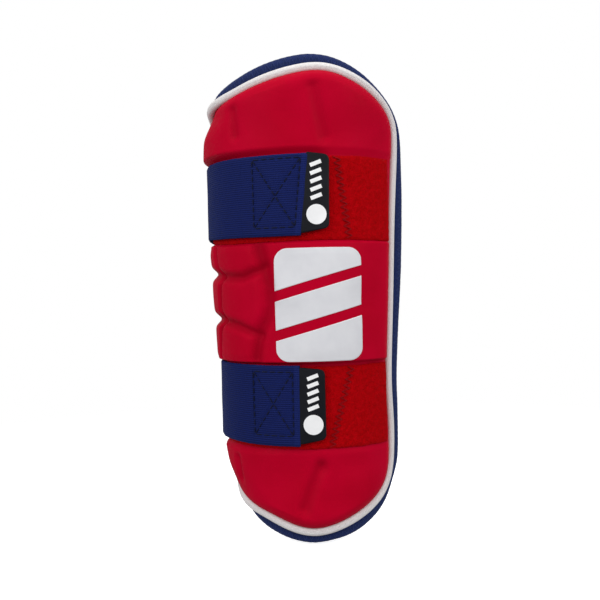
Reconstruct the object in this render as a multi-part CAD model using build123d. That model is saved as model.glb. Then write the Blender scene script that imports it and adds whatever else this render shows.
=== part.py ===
from build123d import *
from dataclasses import dataclass
import math
import os

# Padded forearm guard with two wrap-round elastic straps.
#
# Frame: Z runs along the limb axis and points to the wider (elbow) end.  The
# padded, printed face looks along -Y.  The origin is the centre of the upper
# strap's loop, on the limb axis.  Angles around the limb are in degrees from
# the front (-Y) towards +X.  Lengths are in millimetres.  Heights count from
# mid-length; save() moves each piece down so that the origin is as above.
# Left and right are as seen from the front: right is +X.

os.makedirs("parts", exist_ok=True)

# ---------------------------------------------------------------- pad sizes
SLOPE = 0.05            # the guard widens by this much radius per mm of height
PAD_START_DEG = -112.0  # left-hand limit of every layer before trimming
TAIL_DEG = 45.0         # beyond this angle the right-hand edge runs out straight
TAIL_LENGTH = 26.0
PAD_HALF_HEIGHT = 130.0 # untrimmed
LAYER_GAP = 0.1

# Layer radii at mid-length, from the limb outwards
LINER_IN = 42.0
LINER_OUT = LINER_IN + 2.0
FOAM_IN = LINER_OUT + LAYER_GAP
FOAM_OUT = FOAM_IN + 2.0
PLATE_IN = FOAM_OUT + LAYER_GAP
PLATE_OUT = PLATE_IN + 1.2
BLOCK_IN = PLATE_OUT + LAYER_GAP
FACE_R = 52.6           # outside of the moulded face cover
SKIN = 0.8              # thickness of the face cover
BLOCK_OUT = FACE_R - SKIN - LAYER_GAP

PIPE_LINE_R = 46.2      # surface that carries the piping's centreline
PIPE_R = 1.9
PIPE_BORE_R = 1.2
CORD_R = 1.1            # filler cord inside the piping
RIM_R = 1.6             # radius of the bound edge bead
LINER_INSET = 2 * RIM_R + 0.6
WALL_INSET = 2.2        # pad wall stands this far inside the piping line
CORE_INSET = WALL_INSET + SKIN + LAYER_GAP

BLOCK_SETBACK = SKIN + 0.9      # foam blocks stop this far from a channel
CHANNEL_FOAM_SETBACK = 1.9      # channel foam stops this far inside its channel
CUT_DEPTH = 90.0                # reach of the front-view cutting prisms

# ------------------------------------------------------------- strap sizes
STRAP_T = 1.4           # webbing thickness, also that of the pull tab
STRAP_W = 40.0
HALF_T = STRAP_T / 2
HOOK_T = 0.8
HOOK_HALF_W = 18.5
HOOK_START_DEG = -39
LOOP_T = 1.2
SEAT_GAP = 0.05         # under the webbing, and under the loop strip
HOOK_LOOP_GAP = 0.1
STACK = STRAP_T + SEAT_GAP + HOOK_T + HOOK_LOOP_GAP + LOOP_T + SEAT_GAP
HINGE_GAP = 0.1         # clearance between neighbouring strap links

ANCHOR_DEG = 18
BACK_BENDS = (72, 115, 158)     # bend lines round the limb
LIFT_DEG = 217.0                # where the webbing leaves the limb circle
SIDE_BENDS = (-73, -42)         # bend lines over the pad
THREAD_W = 0.8


@dataclass
class Strap:
    name: str
    z: float            # centre height
    channel: tuple      # bottom and top of the recess across the pad
    loop: tuple         # bottom and top of the loop strip seated in it
    loop_end_x: float   # right-hand end of the loop strip
    pad_r: float        # outer radius of the webbing over the pad
    limb_r: float       # inner radius of the webbing round the limb
    tip_deg: float
    tab_deg: float      # end of the pull tab
    tab_half_h: float
    disc: tuple         # badge disc: angle, height from the strap centre
    dashes: tuple       # badge dashes: bottom and top from the strap centre
    box: tuple          # box seam: two angles, bottom and top from the centre
    zigzag: tuple       # zigzag seam: angles of its top and bottom ends

    @property
    def floor_r(self):  # floor of the channel
        return self.pad_r - STACK

    @property
    def loop_r(self):   # inside of the loop strip
        return self.floor_r + SEAT_GAP


UPPER = Strap(
    name="upper", z=52.6, channel=(28.5, 73.2), loop=(29.1, 70.5), loop_end_x=40.7,
    pad_r=55.75, limb_r=41.9, tip_deg=-3.0, tab_deg=10.0, tab_half_h=18.3,
    disc=(2.9, -11.2), dashes=(-4.5, 15.6), box=(-29.0, -6.2, -17.0, 15.2),
    zigzag=(13.6, 19.2))
LOWER = Strap(
    name="lower", z=-51.8, channel=(-74.6, -31.2), loop=(-74.0, -33.2), loop_end_x=38.0,
    pad_r=50.5, limb_r=36.8, tip_deg=-9.0, tab_deg=5.9, tab_half_h=17.6,
    disc=(-1.2, -9.7), dashes=(-3.2, 15.6), box=(-35.5, -11.2, -15.8, 15.6),
    zigzag=(17.3, 8.5))
STRAPS = (UPPER, LOWER)
ORIGIN_Z = UPPER.z

RED, NAVY, WHITE = (0.66, 0.03, 0.09), (0.08, 0.13, 0.36), (0.92, 0.91, 0.90)
FOAM, DARK, PILE = (0.86, 0.72, 0.20), (0.05, 0.06, 0.08), (0.72, 0.02, 0.03)

# ---------------------------------------------------------------- outlines
# Piping line seen from the front, (x, z), running over the top, down the
# right-hand edge and back under the bottom.
PIPE_XZ = [
    (-46.6, 103.4), (-38.5, 105.8), (-28.8, 108.4), (-17.2, 111.3), (-5.8, 113.4),
    (3.8, 114.3), (12.7, 113.4), (20.3, 111.0), (28.2, 107.3), (36.0, 101.9),
    (41.6, 95.9), (44.4, 89.8), (45.2, 81.5), (44.8, 69.6), (43.8, 53.4),
    (43.0, 38.0), (42.3, 20.0), (41.6, 2.0), (40.8, -16.0), (40.1, -32.0),
    (39.9, -44.0), (40.3, -55.0), (40.8, -67.0), (40.7, -78.0), (39.9, -88.0),
    (37.6, -96.0), (33.4, -102.3), (28.0, -106.9), (21.5, -110.6), (14.0, -113.8),
    (6.0, -116.2), (-2.3, -117.1), (-11.8, -115.4), (-19.0, -112.7), (-26.2, -109.7),
    (-33.5, -106.6),
]
# Outer edge of the liner's bound rim, (x, z), in the same order.
RIM_XZ = [
    (-46.2, 107.6), (-38.8, 112.4), (-31.5, 114.9), (-24.8, 116.8), (-17.0, 118.6),
    (-9.0, 120.0), (1.0, 120.8), (10.5, 119.8), (20.5, 116.5), (28.5, 112.4),
    (36.5, 106.8), (42.8, 100.3), (46.4, 93.0), (48.0, 84.0), (48.4, 70.0),
    (48.1, 51.0), (47.4, 26.0), (46.3, 0.0), (45.0, -26.0), (44.2, -45.0),
    (44.6, -58.0), (45.0, -70.0), (44.9, -80.0), (44.0, -90.0), (42.2, -98.0),
    (38.8, -106.0), (34.0, -112.0), (27.0, -116.6), (18.5, -120.0), (8.0, -122.1),
    (-2.3, -122.9), (-12.6, -121.5), (-22.6, -118.2), (-29.0, -115.0), (-34.7, -110.8),
]
# The left-hand edge of each seen from the side, (y, z), running from the top
# corner down the back edge to the bottom corner.
PIPE_YZ = [
    (-22.4, 103.4), (-13.0, 101.6), (-5.0, 98.2), (0.6, 92.8), (4.6, 85.0),
    (7.6, 75.0), (9.6, 62.0), (10.4, 46.0), (10.4, 26.0), (10.2, 0.0),
    (9.8, -26.0), (9.2, -46.0), (8.2, -62.0), (6.2, -75.0), (3.4, -85.0),
    (-1.0, -93.8), (-6.6, -100.0), (-14.0, -104.2), (-24.2, -106.6),
]
RIM_YZ = [
    (-21.4, 107.6), (-12.0, 106.2), (-3.0, 102.2), (3.6, 95.6), (8.0, 86.6),
    (11.2, 75.6), (13.4, 62.0), (14.4, 46.0), (14.4, 26.0), (14.2, 0.0),
    (13.8, -26.0), (13.0, -46.0), (11.8, -62.0), (9.6, -76.0), (6.4, -87.0),
    (1.6, -96.6), (-4.4, -103.6), (-12.0, -108.4), (-21.8, -110.8),
]
PIPE_OUTLINE = (PIPE_XZ, PIPE_YZ)
RIM_OUTLINE = (RIM_XZ, RIM_YZ)
# Index in the side outlines where the butt joint of rim and piping lies
JOINT_INDEX = 9
JOINT_GAP = 0.6

# Shield plate seen from the front, (x, z), clockwise from the top left.
PLATE_XZ = [
    (-26.0, 91.0), (-18.0, 96.5), (0.0, 98.0), (18.0, 96.5), (30.0, 86.0),
    (33.5, 70.0), (32.0, 20.0), (30.5, -20.0), (29.5, -60.0), (26.0, -84.0),
    (14.0, -96.0), (-2.0, -98.0), (-16.0, -94.0), (-21.5, -82.0), (-23.0, 0.0),
]


# ------------------------------------------------------------------- helpers
def on_tangent(deg, r, run, z):
    """Point a distance run along the tangent that leaves radius r at deg."""
    a = math.radians(deg)
    return (r * math.sin(a) + run * math.cos(a), -r * math.cos(a) + run * math.sin(a), z)


def at(deg, r, z):
    return on_tangent(deg, r, 0, z)


def x_at(deg, r):
    return r * math.sin(math.radians(deg))


def polygon(points):
    return Face(Wire.make_polygon([Vector(*p) for p in points], close=True))


def wedge(r_in, r_out, deg0, deg1, z0, z1, slope=SLOPE):
    """Shell between two cones (or cylinders) over a span of angle and height."""
    face = polygon([at(deg0, r_in + slope * z0, z0), at(deg0, r_out + slope * z0, z0),
                    at(deg0, r_out + slope * z1, z1), at(deg0, r_in + slope * z1, z1)])
    return revolve(face, axis=Axis.Z, revolution_arc=deg1 - deg0)


def straight_wedge(r_in, r_out, deg0, deg1, z0, z1):
    return wedge(r_in, r_out, deg0, deg1, z0, z1, slope=0.0)


def thread_layer(r, deg0, deg1, z0, z1):
    """Thin raised layer just outside radius r, for stitching and badges."""
    return straight_wedge(r + 0.02, r + 0.3, deg0, deg1, z0, z1)


def layer(r_in, r_out):
    """Untrimmed pad layer: a conical shell and its straight run-out."""
    z0, z1 = -PAD_HALF_HEIGHT, PAD_HALF_HEIGHT
    faces = []
    for z in (z0, z1):
        a, b = r_in + SLOPE * z, r_out + SLOPE * z
        corners = ((a, 0), (b, 0), (b, TAIL_LENGTH), (a, TAIL_LENGTH))
        faces.append(polygon([on_tangent(TAIL_DEG, r, run, z) for r, run in corners]))
    return wedge(r_in, r_out, PAD_START_DEG, TAIL_DEG, z0, z1) + loft(faces, ruled=True)


def offset_line(points, growth):
    """Moves each point of an open line to its left, which is off the pad."""
    moved = []
    for i, (u, z) in enumerate(points):
        before, after = points[max(i - 1, 0)], points[min(i + 1, len(points) - 1)]
        du, dz = after[0] - before[0], after[1] - before[1]
        length = math.hypot(du, dz)
        moved.append((u - dz / length * growth, z + du / length * growth))
    return moved


def front_prism(line, growth):
    """Everything inside the front outline, closed off to the left."""
    points = [Vector(x, 60, z) for x, z in offset_line(line, growth)]
    top, bottom = points[0], points[-1]
    rest = Polyline(bottom, Vector(-80, 60, bottom.Z - 0.5),
                    Vector(-80, 60, top.Z + 0.5), top)
    return extrude(make_face([Spline(*points), rest]), amount=150, dir=(0, -1, 0))


def side_prism(line, growth):
    """Everything ahead (-Y) of the left-hand edge."""
    points = [Vector(-90, y, z) for y, z in offset_line(line, growth)]
    top, bottom = points[0], points[-1]
    rest = Polyline(bottom, Vector(-90, bottom.Y - 5, -135), Vector(-90, -95, -135),
                    Vector(-90, -95, 135), Vector(-90, top.Y - 5, 135), top)
    return extrude(make_face([Spline(*points), rest]), amount=180, dir=(1, 0, 0))


def trim(solid, outline, growth):
    front, side = outline
    return solid & front_prism(front, growth) & side_prism(side, growth)


def edge_loop(outline, growth, surface_r):
    """Open line round the outline, on the surface of the given radius.

    It starts and stops beside a butt joint on the left.
    """
    def side_point(y, z):
        r = surface_r + SLOPE * z
        return (-math.sqrt(r * r - y * y), y, z)

    def front_point(x, z):
        r = surface_r + SLOPE * z
        if x <= x_at(TAIL_DEG, r):
            return (x, -math.sqrt(max(r * r - x * x, 0.0)), z)
        return (x, x - r / math.cos(math.radians(TAIL_DEG)), z)

    front, side = (offset_line(line, growth) for line in outline)
    points = [side_point(*p) for p in side[JOINT_INDEX:-1]]
    points += [front_point(*p) for p in reversed(front[1:-1])]
    points += [side_point(*p) for p in side[1:JOINT_INDEX]]
    last, first = points[-1], points[0]
    share = JOINT_GAP / math.dist(last, first)
    points.append(tuple(f + (e - f) * share for e, f in zip(last, first)))
    return Spline(*[Vector(*p) for p in points])


def tube_along(path, r_out, r_in=0.0, steps=84):
    """Round tube through evenly spaced rings that keep a steady roll."""
    rings, roll = [], None
    for i in range(steps + 1):
        tangent = path % (i / steps)
        centre = path @ (i / steps)
        if roll is None:
            roll = Plane(origin=centre, z_dir=tangent).x_dir
        else:
            roll = roll - tangent * roll.dot(tangent)
        roll = roll.normalized()
        rings.append(Plane(origin=centre, x_dir=roll, z_dir=tangent))
    body = loft([ring * Circle(r_out) for ring in rings], ruled=True)
    if r_in > 0:
        body = body - loft([ring * Circle(r_in) for ring in rings], ruled=True)
    return body


def forward(face):
    """Front-view prism from y = 0 out past the pad's face."""
    return extrude(face, amount=CUT_DEPTH, dir=(0, -1, 0))


def front_sketch(sketch, x, z):
    return forward(Plane.XZ * Pos(x, z) * sketch)


def front_polygon(points):
    return forward(polygon([(x, 0, z) for x, z in points]))


def bar(start, end, width):
    """Front-view bar between two (x, z) points."""
    dx, dz = end[0] - start[0], end[1] - start[1]
    length = math.hypot(dx, dz)
    nx, nz = -dz / length * width / 2, dx / length * width / 2
    return front_polygon([(start[0] + nx, start[1] + nz), (end[0] + nx, end[1] + nz),
                          (end[0] - nx, end[1] - nz), (start[0] - nx, start[1] - nz)])


def slab(z0, z1):
    return Box(180, 200, z1 - z0).moved(Location((0, 0, (z0 + z1) / 2)))


def save(shape, name, colour):
    # slivers left by the booleans are dropped
    keep = [s.moved(Location((0, 0, -ORIGIN_Z))) for s in shape.solids() if s.volume > 0.02]
    piece = keep[0] if len(keep) == 1 else Compound(children=keep)
    piece.label = name
    piece.color = Color(*colour)
    export_step(piece, f"parts/{name}.step")


# ----------------------------------------------------------------- the pad
def channel_cut(extra):
    """Rings that clear both strap channels, enlarged by extra."""
    cuts = None
    for strap in STRAPS:
        z0, z1 = strap.channel[0] - extra, strap.channel[1] + extra
        ring = Cylinder(90, z1 - z0) - Cylinder(strap.floor_r - extra, z1 - z0)
        ring = ring.moved(Location((0, 0, (z0 + z1) / 2)))
        cuts = ring if cuts is None else cuts + ring
    return cuts


def shield_plate():
    """Stiff plate that covers the front and stops short of every edge."""
    return wedge(PLATE_IN, PLATE_OUT, -30, 42, -98, 98) & front_polygon(PLATE_XZ)


def face_cover():
    outer = trim(layer(FOAM_IN, FACE_R), PIPE_OUTLINE, -WALL_INSET) - channel_cut(0)
    # the cavity starts below the cover, which leaves its back open
    cavity = trim(layer(LINER_OUT - 2.0, FACE_R - SKIN), PIPE_OUTLINE, -(WALL_INSET + SKIN))
    return outer - (cavity - channel_cut(SKIN))


def save_foam_blocks():
    """Foam that fills the cover, above the base sheet and clear of the channels."""
    room = trim(layer(BLOCK_IN, BLOCK_OUT), PIPE_OUTLINE, -CORE_INSET)
    room = room - channel_cut(SKIN + LAYER_GAP)
    save(room & slab(UPPER.channel[1] + BLOCK_SETBACK, 125), "foam_top_dome", FOAM)
    save(room & slab(-125, LOWER.channel[0] - BLOCK_SETBACK), "foam_bottom_dome", FOAM)
    middle = room & slab(LOWER.channel[1] + BLOCK_SETBACK, UPPER.channel[0] - BLOCK_SETBACK)

    def column(deg0, deg1):
        return middle & wedge(40, 60, deg0, deg1, -40, 40)

    save(column(-26, 60), "foam_front_block", FOAM)
    # two columns of three pods down the left-hand side
    for name, deg0, deg1 in (("inner", -62, -28.5), ("outer", -101, -64)):
        pods = column(deg0, deg1)
        rows = [pods & slab(z0, z1) for z0, z1 in ((13.9, 40), (-10.2, 12.7), (-40, -11.4))]
        solids = [solid for row in rows for solid in row.solids()]
        save(Compound(children=solids), f"flex_pods_{name}", FOAM)


def channel_foam():
    """Thinner foam under the floor of each channel."""
    foam = None
    for strap in STRAPS:
        z0, z1 = strap.channel
        centre, half = (z0 + z1) / 2, (z1 - z0) / 2 - CHANNEL_FOAM_SETBACK
        ring = layer(BLOCK_IN, BLOCK_OUT + 2) & slab(centre - half, centre + half)
        ring = trim(ring, PIPE_OUTLINE, -CORE_INSET)
        limit = Cylinder(strap.floor_r - SKIN - LAYER_GAP, 2 * half)
        ring = ring & limit.moved(Location((0, 0, centre)))
        foam = ring if foam is None else foam + ring
    return foam


def front_emblem():
    """Plain rounded tile with two slanting gaps, a thin film on the cover."""
    x0, x1, z0, z1 = -18.6, 24.2, -30.4, 25.4
    tile = front_sketch(RectangleRounded(x1 - x0, z1 - z0, 6.5), (x0 + x1) / 2, (z0 + z1) / 2)
    film = wedge(FACE_R + 0.03, FACE_R + 0.33, -40, 44, -40, 40) & tile
    for z in (1.0, -18.5):
        film = film - bar((-22, z), (28, z + 14), 5.0)
    return film


save(trim(layer(LINER_IN, LINER_OUT), RIM_OUTLINE, -LINER_INSET), "back_liner", NAVY)
rim_path = edge_loop(RIM_OUTLINE, -RIM_R, (LINER_IN + LINER_OUT) / 2)
save(tube_along(rim_path, RIM_R), "edge_binding", NAVY)
save(trim(layer(FOAM_IN, FOAM_OUT), PIPE_OUTLINE, -CORE_INSET), "base_foam", FOAM)
save(shield_plate(), "shield_plate", DARK)
save(face_cover(), "face_cover", RED)
save_foam_blocks()
save(channel_foam(), "channel_foam", FOAM)
pipe_path = edge_loop(PIPE_OUTLINE, 0.0, PIPE_LINE_R)
save(tube_along(pipe_path, PIPE_R, PIPE_BORE_R), "piping_cover", WHITE)
save(tube_along(pipe_path, CORD_R), "piping_cord", WHITE)
save(front_emblem(), "front_emblem", WHITE)


# -------------------------------------------------------------- the straps
# Each strap starts under the right-hand side of the liner, runs round the back
# of the limb, over the left-hand edge and back across the pad's channel.  The
# webbing bends at six lines; the rounded nose of each link turns on its line.
def loop_strip(strap):
    strip = straight_wedge(strap.loop_r, strap.loop_r + LOOP_T, -98, 60, *strap.loop)
    return strip & Box(200, 200, 60).moved(Location((strap.loop_end_x - 100, 0, strap.z)))


def zigzag_stitch(strap):
    """Zigzag seam near the right-hand end of the loop strip."""
    r = strap.loop_r + LOOP_T
    z0, z1 = strap.loop
    steps, swing = 28, 1.7
    centre, half = (z0 + z1) / 2, (z1 - z0) / 2 - 1.2
    x_top, x_bottom = (x_at(deg, r) for deg in strap.zigzag)
    left, right = [], []
    for i in range(steps + 1):
        share = i / steps
        z = centre + half - 2 * half * share
        x = x_top + (x_bottom - x_top) * share + (swing if i % 2 else -swing)
        left.append((x - THREAD_W / 2, z))
        right.append((x + THREAD_W / 2, z))
    return front_polygon(left + right[::-1]) & thread_layer(r, -20, 40, z0, z1)


def gap_deg(r):
    """Angle from a bend line back to the end of the link before it."""
    return math.degrees((HALF_T + HINGE_GAP) / r)


def webbing(strap, r_in, deg0, deg1):
    z0, z1 = strap.z - STRAP_W / 2, strap.z + STRAP_W / 2
    return straight_wedge(r_in, r_in + STRAP_T, deg0, deg1, z0, z1)


def nose(strap, deg, r_mid, length=STRAP_W):
    return Cylinder(HALF_T, length).moved(Location(at(deg, r_mid, strap.z)))


def link(strap, r_in, deg0, deg1):
    """Webbing link from one bend line to just short of the next."""
    r_mid = r_in + HALF_T
    return webbing(strap, r_in, deg0, deg1 - gap_deg(r_mid)) + nose(strap, deg0, r_mid)


def last_back_link(strap, run):
    """Arc, then a straight run that meets the circle over the pad."""
    r_in, start = strap.limb_r, BACK_BENDS[-1]
    stop = run - HALF_T - HINGE_GAP
    corners = ((r_in, 0), (r_in + STRAP_T, 0), (r_in + STRAP_T, stop), (r_in, stop))
    z0 = strap.z - STRAP_W / 2
    quad = polygon([on_tangent(LIFT_DEG, r, s, z0) for r, s in corners])
    flat = extrude(quad, amount=STRAP_W, dir=(0, 0, 1))
    return webbing(strap, r_in, start, LIFT_DEG) + flat + nose(strap, start, r_in + HALF_T)


def save_webbing(strap):
    limb_mid, pad_mid = strap.limb_r + HALF_T, strap.pad_r - HALF_T
    bend_a, bend_b, bend_c = BACK_BENDS
    anchor = webbing(strap, strap.limb_r, ANCHOR_DEG, bend_a - gap_deg(limb_mid))
    save(anchor, f"{strap.name}_strap_anchor", NAVY)
    save(link(strap, strap.limb_r, bend_a, bend_b), f"{strap.name}_strap_back_a", NAVY)
    save(link(strap, strap.limb_r, bend_b, bend_c), f"{strap.name}_strap_back_b", NAVY)

    run = math.sqrt(pad_mid * pad_mid - limb_mid * limb_mid)
    save(last_back_link(strap, run), f"{strap.name}_strap_back_c", NAVY)

    corner = LIFT_DEG + math.degrees(math.atan2(run, limb_mid)) - 360.0
    stops = (corner, *SIDE_BENDS, strap.tip_deg)
    for piece, deg0, deg1 in zip(("side_a", "side_b", "end"), stops, stops[1:]):
        pad_link = link(strap, strap.pad_r - STRAP_T, deg0, deg1)
        save(pad_link, f"{strap.name}_strap_{piece}", NAVY)


def hook_patch(strap):
    r_out = strap.pad_r - STRAP_T - SEAT_GAP
    end = strap.tip_deg - gap_deg(strap.pad_r - HALF_T) - 0.8
    return straight_wedge(r_out - HOOK_T, r_out, HOOK_START_DEG, end,
                          strap.z - HOOK_HALF_W, strap.z + HOOK_HALF_W)


def box_stitch(strap):
    """Box and cross stitching through the strap end."""
    deg0, deg1, bottom, top = strap.box
    x0, x1 = x_at(deg0, strap.pad_r), x_at(deg1, strap.pad_r)
    z0, z1 = strap.z + bottom, strap.z + top
    a, b, c, d = (x0, z1), (x1, z1), (x1, z0), (x0, z0)
    seam = bar(a, b, THREAD_W)
    for start, end in ((b, c), (c, d), (d, a), (a, c), (b, d)):
        seam = seam + bar(start, end, THREAD_W)
    return seam & thread_layer(strap.pad_r, -60, 10,
                               strap.z - STRAP_W / 2, strap.z + STRAP_W / 2)


def pull_tab(strap):
    """Rubber tab, held in the folded tip and free to lift."""
    r, half = strap.pad_r, strap.tab_half_h
    tab = straight_wedge(r - STRAP_T, r, strap.tip_deg, strap.tab_deg,
                         strap.z - half, strap.z + half)
    frame = RectangleRounded(40, 2 * half, 3.0)
    tab = tab & front_sketch(frame, x_at(strap.tab_deg, r) - 20, strap.z)
    return tab + nose(strap, strap.tip_deg, r - HALF_T, 2 * half - 6.2)


def tab_badge(strap):
    """Plain disc and a column of slanting dashes raised on the tab."""
    deg, disc_z = strap.disc
    x = x_at(deg, strap.pad_r)
    marks = front_sketch(Circle(4.9), x, strap.z + disc_z)
    bottom, top = strap.dashes
    count = 5
    for i in range(count):
        z = strap.z + bottom + (top - bottom) * (i + 0.5) / count
        marks = marks + bar((x - 2.6, z - 1.0), (x + 2.8, z + 1.0), 1.9)
    return marks & thread_layer(strap.pad_r, strap.tip_deg, strap.tab_deg,
                                strap.z - strap.tab_half_h, strap.z + strap.tab_half_h)


for strap in STRAPS:
    save(loop_strip(strap), f"{strap.name}_loop_strip", PILE)
    save(zigzag_stitch(strap), f"{strap.name}_zigzag_stitch", PILE)
    save_webbing(strap)
    save(hook_patch(strap), f"{strap.name}_hook_patch", DARK)
    save(box_stitch(strap), f"{strap.name}_box_stitch", DARK)
    save(pull_tab(strap), f"{strap.name}_pull_tab", DARK)
    save(tab_badge(strap), f"{strap.name}_tab_badge", WHITE)
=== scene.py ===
"""Strapped limb pad: a moulded fabric face over foam, with piping, a bound and quilted
liner, and two elastic straps that close on loop-pile strips across the face.

The limb stands along +Z and the face looks along -Y. Lengths are millimetres until a mesh
is built. Angles are degrees about Z: 0 at the front, -90 at the left (-X), 180 at the back.
An unrolled position (u, z) takes u as the angle up to 45; beyond it the pad runs on flat.
"""
import math
from functools import cached_property
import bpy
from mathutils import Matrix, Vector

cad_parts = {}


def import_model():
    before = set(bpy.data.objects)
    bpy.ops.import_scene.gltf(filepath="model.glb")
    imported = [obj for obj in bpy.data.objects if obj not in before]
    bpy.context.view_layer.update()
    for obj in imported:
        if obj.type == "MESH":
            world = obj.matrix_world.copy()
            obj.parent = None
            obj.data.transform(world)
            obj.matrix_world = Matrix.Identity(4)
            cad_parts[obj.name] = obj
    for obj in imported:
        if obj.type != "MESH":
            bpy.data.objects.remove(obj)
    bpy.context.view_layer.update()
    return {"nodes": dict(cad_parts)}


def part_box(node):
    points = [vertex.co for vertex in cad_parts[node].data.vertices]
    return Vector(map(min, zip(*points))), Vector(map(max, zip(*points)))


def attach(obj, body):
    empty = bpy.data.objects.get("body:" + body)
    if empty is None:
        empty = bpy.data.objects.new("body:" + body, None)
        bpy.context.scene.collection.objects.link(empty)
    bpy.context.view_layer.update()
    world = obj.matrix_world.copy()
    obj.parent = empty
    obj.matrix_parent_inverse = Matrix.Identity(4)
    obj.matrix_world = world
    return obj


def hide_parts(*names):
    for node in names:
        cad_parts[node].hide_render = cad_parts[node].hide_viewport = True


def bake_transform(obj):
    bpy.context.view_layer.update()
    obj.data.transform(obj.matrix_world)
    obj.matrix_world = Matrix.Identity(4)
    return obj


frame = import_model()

from types import SimpleNamespace

import bmesh
import bpy
import numpy as np
from mathutils import Matrix, Vector

NODES = frame["nodes"]
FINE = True
RNG = np.random.default_rng(11)
C45 = math.sqrt(0.5)
DEG = math.pi / 180

# ------------------------------------------------------------------ design data
# Front views (x, z) run from the upper left corner over the top, down the right side and
# back along the bottom. Left side views (y, z) run from top to bottom. End points only
# set the direction of the line.
PIPE_XZ = [
    (-46.6, 103.4), (-38.5, 105.8), (-28.8, 108.4), (-17.2, 111.3), (-5.8, 113.4), (3.8, 114.3),
    (12.7, 113.4), (20.3, 111.0), (28.2, 107.3), (36.0, 101.9), (41.6, 95.9), (44.4, 89.8),
    (45.2, 81.5), (44.8, 69.6), (43.8, 53.4), (43.0, 38.0), (42.3, 20.0), (41.6, 2.0),
    (40.8, -16.0), (40.1, -32.0), (39.9, -44.0), (40.3, -55.0), (40.8, -67.0), (40.7, -78.0),
    (39.9, -88.0), (37.6, -96.0), (33.4, -102.3), (28.0, -106.9), (21.5, -110.6), (14.0, -113.8),
    (6.0, -116.2), (-2.3, -117.1), (-11.8, -115.4), (-19.0, -112.7), (-26.2, -109.7),
    (-33.5, -106.6)]
RIM_XZ = [
    (-46.2, 107.6), (-38.8, 112.4), (-31.5, 114.9), (-24.8, 116.8), (-17.0, 118.6), (-9.0, 120.0),
    (1.0, 120.8), (10.5, 119.8), (20.5, 116.5), (28.5, 112.4), (36.5, 106.8), (42.8, 100.3),
    (46.4, 93.0), (48.0, 84.0), (48.4, 70.0), (48.1, 51.0), (47.4, 26.0), (46.3, 0.0),
    (45.0, -26.0), (44.2, -45.0), (44.6, -58.0), (45.0, -70.0), (44.9, -80.0), (44.0, -90.0),
    (42.2, -98.0), (38.8, -106.0), (34.0, -112.0), (27.0, -116.6), (18.5, -120.0), (8.0, -122.1),
    (-2.3, -122.9), (-12.6, -121.5), (-22.6, -118.2), (-29.0, -115.0), (-34.7, -110.8)]
PIPE_YZ = [
    (-22.4, 103.4), (-13.0, 101.6), (-5.0, 98.2), (0.6, 92.8), (4.6, 85.0), (7.6, 75.0),
    (9.6, 62.0), (10.4, 46.0), (10.4, 26.0), (10.2, 0.0), (9.8, -26.0), (9.2, -46.0),
    (8.2, -62.0), (6.2, -75.0), (3.4, -85.0), (-1.0, -93.8), (-6.6, -100.0), (-14.0, -104.2),
    (-24.2, -106.6)]
RIM_YZ = [
    (-21.4, 107.6), (-12.0, 106.2), (-3.0, 102.2), (3.6, 95.6), (8.0, 86.6), (11.2, 75.6),
    (13.4, 62.0), (14.4, 46.0), (14.4, 26.0), (14.2, 0.0), (13.8, -26.0), (13.0, -46.0),
    (11.8, -62.0), (9.6, -76.0), (6.4, -87.0), (1.6, -96.6), (-4.4, -103.6), (-12.0, -108.4),
    (-21.8, -110.8)]
SIDE_MID = 9         # index of the side-view point at mid height

CORNER = 45          # angle where the round shell runs on as a flat tail
TAIL_R = 47          # radius that turns tail length into degrees of u
TAPER = 0.05         # every shell radius grows by this per mm of height
FACE_R = 52.6        # face skin
FOAM_R = 47.5        # inner side of the foam blocks
WALL_R = 46.2        # foot of the skin's side wall
BASE_R = 44.15       # base sheet, where the wall ends
LINER_R = 42.3       # inner face of the liner
UV_R = 50            # radius used to unroll texture coordinates

WEB_HALF_WIDTH = 20.0
WEB_HALF_THICK = 0.70
STACK = 3.6          # channel floor to outer face of the strap
END_START = -38.0    # angle where the sewn strap end begins
STRAPS = [
    SimpleNamespace(
        name="upper", z=52.6,
        channel=(28.5, 73.2), loop=(29.1, 70.5),  # z range of recess and of pile strip
        strip_taper=2.2,                # how far the strip's lower edge rises at the left
        channel_drop=(1.3, 0.6),        # fall of the recess's top edge, in two steps
        lips=((0.7, 1.3), (3.6, 4.1)),  # (reach, width) of the lower and upper lips
        dome_edge=1, sink=(2.3, 0.9),   # recess edge beside the dome; sinking, right extra
        R=55.75, limb_R=41.9,           # strap's face on the pad, and its side on the limb
        tip=-3.0, slant=(-0.7, -5.2),   # tip angle at mid width, and at top and bottom
        tab_angles=(10.0, 9.2), tab_half=18.3,
        droop=1.3, tuck=0.9, end_blend=3.2, inner_line=False,
        box=((-30.6, 18.0), (-4.4, 18.0), (-8.0, -15.7), (-30.2, -15.7)),  # (angle, z)
        zigzag=(13.4, 18.8), strip_right=40.7),  # x at top and bottom; x of right end
    SimpleNamespace(
        name="lower", z=-51.8,
        channel=(-74.6, -31.2), loop=(-74.0, -33.2),
        strip_taper=0.0,
        channel_drop=(0.0, 0.0),
        lips=((3.4, 3.9), (0.7, 1.3)),
        dome_edge=0, sink=(1.5, 0.0),
        R=50.5, limb_R=36.8,
        tip=-9.0, slant=(-8.3, -8.8),
        tab_angles=(5.9, 5.9), tab_half=17.6,
        droop=0.5, tuck=0.0, end_blend=1.8, inner_line=True,
        box=((-37.4, 16.8), (-12.4, 16.8), (-12.4, -14.8), (-37.0, -14.8)),
        zigzag=(18.7, 7.8), strip_right=38.0)]

# Design heights count from mid-length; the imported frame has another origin, found
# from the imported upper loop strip.
_lo, _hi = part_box("upper_loop_strip")
Z_SHIFT = (_lo.z + _hi.z) * 500.0 - sum(STRAPS[0].loop) / 2


# -------------------------------------------------------------------- small maths
def smooth(t):
    t = np.clip(t, 0.0, 1.0)
    return t * t * (3 - 2 * t)


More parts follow.
